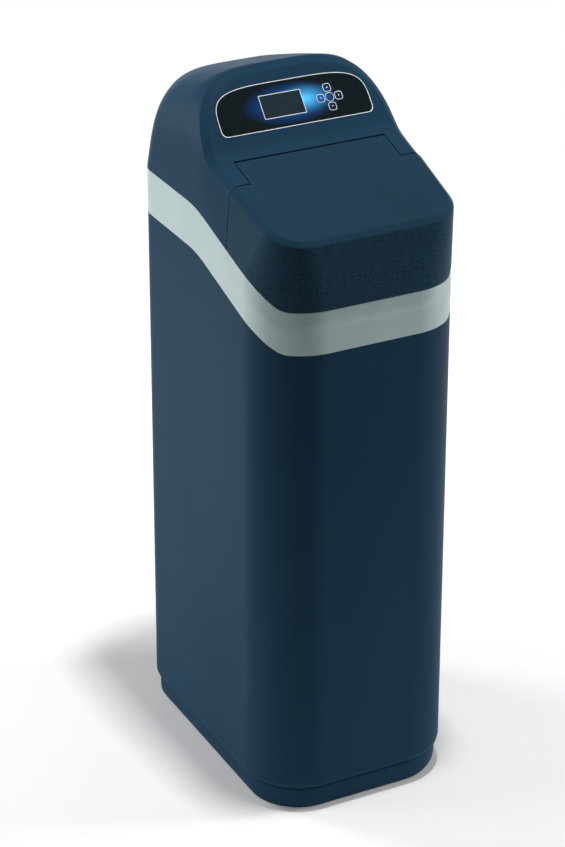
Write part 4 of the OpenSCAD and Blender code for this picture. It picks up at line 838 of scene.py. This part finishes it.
# Steel: screws, clips, washer and motor can, turned or pressed and then zinc plated.
# The plating keeps the fine drawn lines of the metal under it.
zinc, tree, shader, place = finish_of("zinc_steel", (0.6, 0.6, 0.58, 1), 0.35, 0.5, metal=1.0)
drawn = noise(tree, place, 260, 4, stretch=(1, 1, 12))
tint(tree, shader, drawn, (0.52, 0.52, 0.5, 1), (0.66, 0.66, 0.64, 1))
gloss(tree, shader, drawn, 0.26, 0.42)
emboss(tree, shader, drawn, 0.01)
for name in ("board_screws", "clamp_clips", "wave_washer", "valve_cover_screws", "plate_screws",
             "drive_motor"):
    dress(nodes[name], None, zinc)

# Hinge pins: two short pins of turned steel, blackened against rust.
# They are pressed into the hood's cheeks and reach into the lid's barrel.
oxide, tree, shader, place = finish_of("blackened_steel", (0.03, 0.03, 0.032, 1), 0.45, 0.3)
tint(tree, shader, noise(tree, place, 500, 3), (0.022, 0.022, 0.024, 1), (0.04, 0.04, 0.042, 1))
gloss(tree, shader, noise(tree, place, 900, 2), 0.38, 0.52)
dress(nodes["hinge_pins"], None, oxide)

# Black fittings: valve, drive plate, injector, caps and elbows moulded in black glass-filled plastic, whose
# fibres leave a faint streaked, matt skin.
filled, tree, shader, place = finish_of("filled_plastic", (0.022, 0.022, 0.024, 1), 0.5, 0.35)
fibres = noise(tree, place, 500, 4, stretch=(1, 1, 0.2))
tint(tree, shader, fibres, (0.017, 0.017, 0.019, 1), (0.032, 0.032, 0.034, 1))
gloss(tree, shader, fibres, 0.42, 0.6)
emboss(tree, shader, fibres, 0.03)
for name in ("tact_switches", "neck_clamps", "valve_body", "valve_cover", "motor_plate", "position_switch",
             "injector_body", "injector_cap", "flow_sensor", "drain_fitting", "brinewell_cap", "brine_valve_body",
             "float_stop", "overflow_elbow"):
    dress(nodes[name], None, filled)

# White fittings: distributors, rotor, gears, meter wheel, brine well and its tubes, moulded in natural plastic
# that keeps a slight ivory cast.
natural = moulded("natural_plastic", (0.7, 0.69, 0.64, 1), 0.45, 0.4, grain=500, depth=0.03)
for name in ("riser_tube", "top_distributor", "bottom_distributor", "rotor_disc", "cam_gear", "motor_pinion",
             "nozzle_venturi", "turbine", "turbine_support", "brinewell", "brine_screen", "brine_riser"):
    dress(nodes[name], None, natural)

# Rubber: seals, gasket, grommet, tank boot, gland and the lead's jacket, moulded and dusted so that they don't
# stick. The seals sit in grooves, the boot under the tank.
rubber, tree, shader, place = finish_of("black_rubber", (0.012, 0.012, 0.012, 1), 0.75, 0.25)
bloom = noise(tree, place, 180, 5)
tint(tree, shader, bloom, (0.009, 0.009, 0.009, 1), (0.02, 0.02, 0.021, 1))
gloss(tree, shader, bloom, 0.66, 0.85)
emboss(tree, shader, bloom, 0.05)
for name in ("wiring_harness", "tank_boot", "neck_o_ring", "rotor_seal", "injector_gasket", "overflow_grommet",
             "cable_gland"):
    dress(nodes[name], None, rubber)

# Resin tank: a blow moulded liner wound with resin-soaked glass strands. The strands cross in two helices,
# which show as shallow diamonds under a blue coat.
TANK_Y = 118.0
wound, tree, shader, place = finish_of("wound_glass", (0.02, 0.05, 0.09, 1), 0.35, 0.4)
centre = tree.nodes.new("ShaderNodeMapping")
centre.inputs["Location"].default_value = (0, -TANK_Y/1000, 0)
round_it = tree.nodes.new("ShaderNodeTexGradient")
round_it.gradient_type = "RADIAL"
split = tree.nodes.new("ShaderNodeSeparateXYZ")
tree.links.new(place, centre.inputs["Vector"])
tree.links.new(centre.outputs["Vector"], round_it.inputs["Vector"])
tree.links.new(place, split.inputs["Vector"])
STRANDS, CLIMB = 48, 330.0
turns = reckon(tree, "MULTIPLY", round_it.outputs["Fac"], 2*np.pi*STRANDS)
climbs = [reckon(tree, "MULTIPLY", split.outputs["Z"], slope) for slope in (CLIMB, -CLIMB)]
lay = [reckon(tree, "SINE", reckon(tree, "ADD", turns, climb), 0) for climb in climbs]
crossed = reckon(tree, "MAXIMUM", *lay)
tint(tree, shader, crossed, (0.015, 0.04, 0.075, 1), (0.035, 0.075, 0.13, 1), 0.0, 1.0)
emboss(tree, shader, crossed, 0.3)
dress(nodes["resin_tank"], None, wound)

# Resin bed: amber ion exchange beads, half a millimetre across, poured into the tank.
# They lie packed round the riser tube and the lower distributor.
beads, tree, shader, place = finish_of("amber_beads", (0.5, 0.22, 0.05, 1), 0.3, 0.5)


def cells(tree, place, scale):
    """Distance from the nearest of many scattered centres, scale in cells per metre."""
    node = tree.nodes.new("ShaderNodeTexVoronoi")
    node.inputs["Scale"].default_value = scale
    tree.links.new(place, node.inputs["Vector"])
    return node.outputs["Distance"]


bead_relief_painted_shade = cells(tree, place, 1400)
# Painted shade: each bead is coloured lighter in its middle and darker towards its edge and the gaps between beads.
tint(tree, shader, bead_relief_painted_shade, (0.62, 0.3, 0.08, 1), (0.28, 0.1, 0.02, 1), 0.1, 0.7)
emboss(tree, shader, bead_relief_painted_shade, -0.3)
dress(nodes["resin_bed"], None, beads)

# Brine tube and float: milky extruded tubing with faint draw lines, pushed on at both ends, and a moulded
# closed-cell float with a pored skin that slides on the brine riser.
tubing, tree, shader, place = finish_of("milky_tubing", (0.5, 0.55, 0.58, 1), 0.3, 0.4)
draw_lines = noise(tree, place, 400, 3, stretch=(1, 1, 0.05))
tint(tree, shader, draw_lines, (0.44, 0.49, 0.53, 1), (0.57, 0.62, 0.65, 1))
gloss(tree, shader, draw_lines, 0.24, 0.36)
dress(nodes["brine_tube"], None, tubing)
foam, tree, shader, place = finish_of("float_foam", (0.6, 0.3, 0.06, 1), 0.7, 0.2)
pore_relief_painted_shade = cells(tree, place, 700)
# Painted shade: each pore is coloured darker towards its middle, where it is deepest.
tint(tree, shader, pore_relief_painted_shade, (0.45, 0.2, 0.035, 1), (0.66, 0.35, 0.08, 1), 0.1, 0.6)
emboss(tree, shader, pore_relief_painted_shade, 0.15)
dress(nodes["brine_float"], None, foam)

# Floor and light: a pale studio floor and a white surround. A small lamp overhead lights the tops, a soft box
# on the right lights the front and throws the shadow to the left, and soft boxes behind and on the left light
# the crown and the side wall.
FLOOR, FLOOR_BALL, FLOOR_GLOW, FILL = 9000, 2.6, 0.09, 0.09
floor = make("floor", [(-FLOOR, -FLOOR, 0), (FLOOR, -FLOOR, 0), (FLOOR, FLOOR, 0), (-FLOOR, FLOOR, 0)], [[0, 1, 2, 3]])


def seen_directly(tree):
    """1 for rays from the camera, a reflection or a view through glass, 0 for the light that falls on things."""
    path = tree.nodes.new("ShaderNodeLightPath")
    value = path.outputs["Is Camera Ray"]
    for name in ("Is Glossy Ray", "Is Transmission Ray"):
        value = reckon(tree, "MAXIMUM", value, path.outputs[name])
    return value


paper, tree, shader, place = finish_of("pale_floor", (0.9, 0.9, 0.9, 1), 0.9, 0.0)
ball = tree.nodes.new("ShaderNodeTexGradient")
ball.gradient_type = "SPHERICAL"
spread = tree.nodes.new("ShaderNodeMapping")
spread.vector_type = "TEXTURE"
spread.inputs["Scale"].default_value = [FLOOR_BALL]*3
tree.links.new(place, spread.inputs["Vector"])
tree.links.new(spread.outputs["Vector"], ball.inputs["Vector"])
tint(tree, shader, ball.outputs["Fac"], (0.02, 0.02, 0.02, 1), (0.95, 0.95, 0.95, 1), 0.02, 0.4)
shader.inputs["Emission Color"].default_value = (1, 1, 1, 1)
fade = tree.nodes.new("ShaderNodeMapRange")
fade.inputs["From Min"].default_value, fade.inputs["From Max"].default_value = 0.02, 0.76
fade.inputs["To Min"].default_value, fade.inputs["To Max"].default_value = 1.0, FLOOR_GLOW
tree.links.new(ball.outputs["Fac"], fade.inputs["Value"])
shine = reckon(tree, "MULTIPLY", seen_directly(tree), fade.outputs["Result"])
tree.links.new(shine, shader.inputs["Emission Strength"])
floor.data.materials.append(paper)

world = bpy.data.worlds.new("studio")
scene.world = world
world.use_nodes = True
tree = world.node_tree
surround = tree.nodes["Background"]
surround.inputs["Color"].default_value = (1, 1, 1, 1)
level = tree.nodes.new("ShaderNodeMapRange")
level.inputs["To Min"].default_value, level.inputs["To Max"].default_value = FILL, 1.0
tree.links.new(seen_directly(tree), level.inputs["Value"])
tree.links.new(level.outputs["Result"], surround.inputs["Strength"])


def soft_box(name, spot, aim, size, watts):
    """A rectangular lamp at a spot, aimed at a point, all in metres."""
    lamp = bpy.data.lights.new(name, "AREA")
    lamp.shape = "RECTANGLE"
    lamp.size, lamp.size_y = size
    lamp.energy = watts
    stand = bpy.data.objects.new(name, lamp)
    away = np.array(spot, float) - np.array(aim, float)
    away /= np.linalg.norm(away)
    side = np.cross((0, 0, 1), away) if abs(away[2]) < 0.99 else np.array((1.0, 0, 0))
    side /= np.linalg.norm(side)
    stand.matrix_world = Matrix(np.vstack([np.column_stack([side, np.cross(away, side), away, spot]), (0, 0, 0, 1)]))
    scene.collection.objects.link(stand)


soft_box("lamp_above", (0.05, -0.35, 4.2), (0, 0, 0.6), (0.3, 0.3), 90)
soft_box("lamp_behind", (-1.9, 2.4, 1.4), (0, 0, 0.75), (0.9, 1.8), 52)
soft_box("lamp_left", (-3.1, 1.3, 0.95), (0, 0, 0.6), (1.4, 1.6), 40)
soft_box("lamp_right", (3.0, -1.2, 1.2), (0, 0, 0.7), (0.8, 2.0), 63)
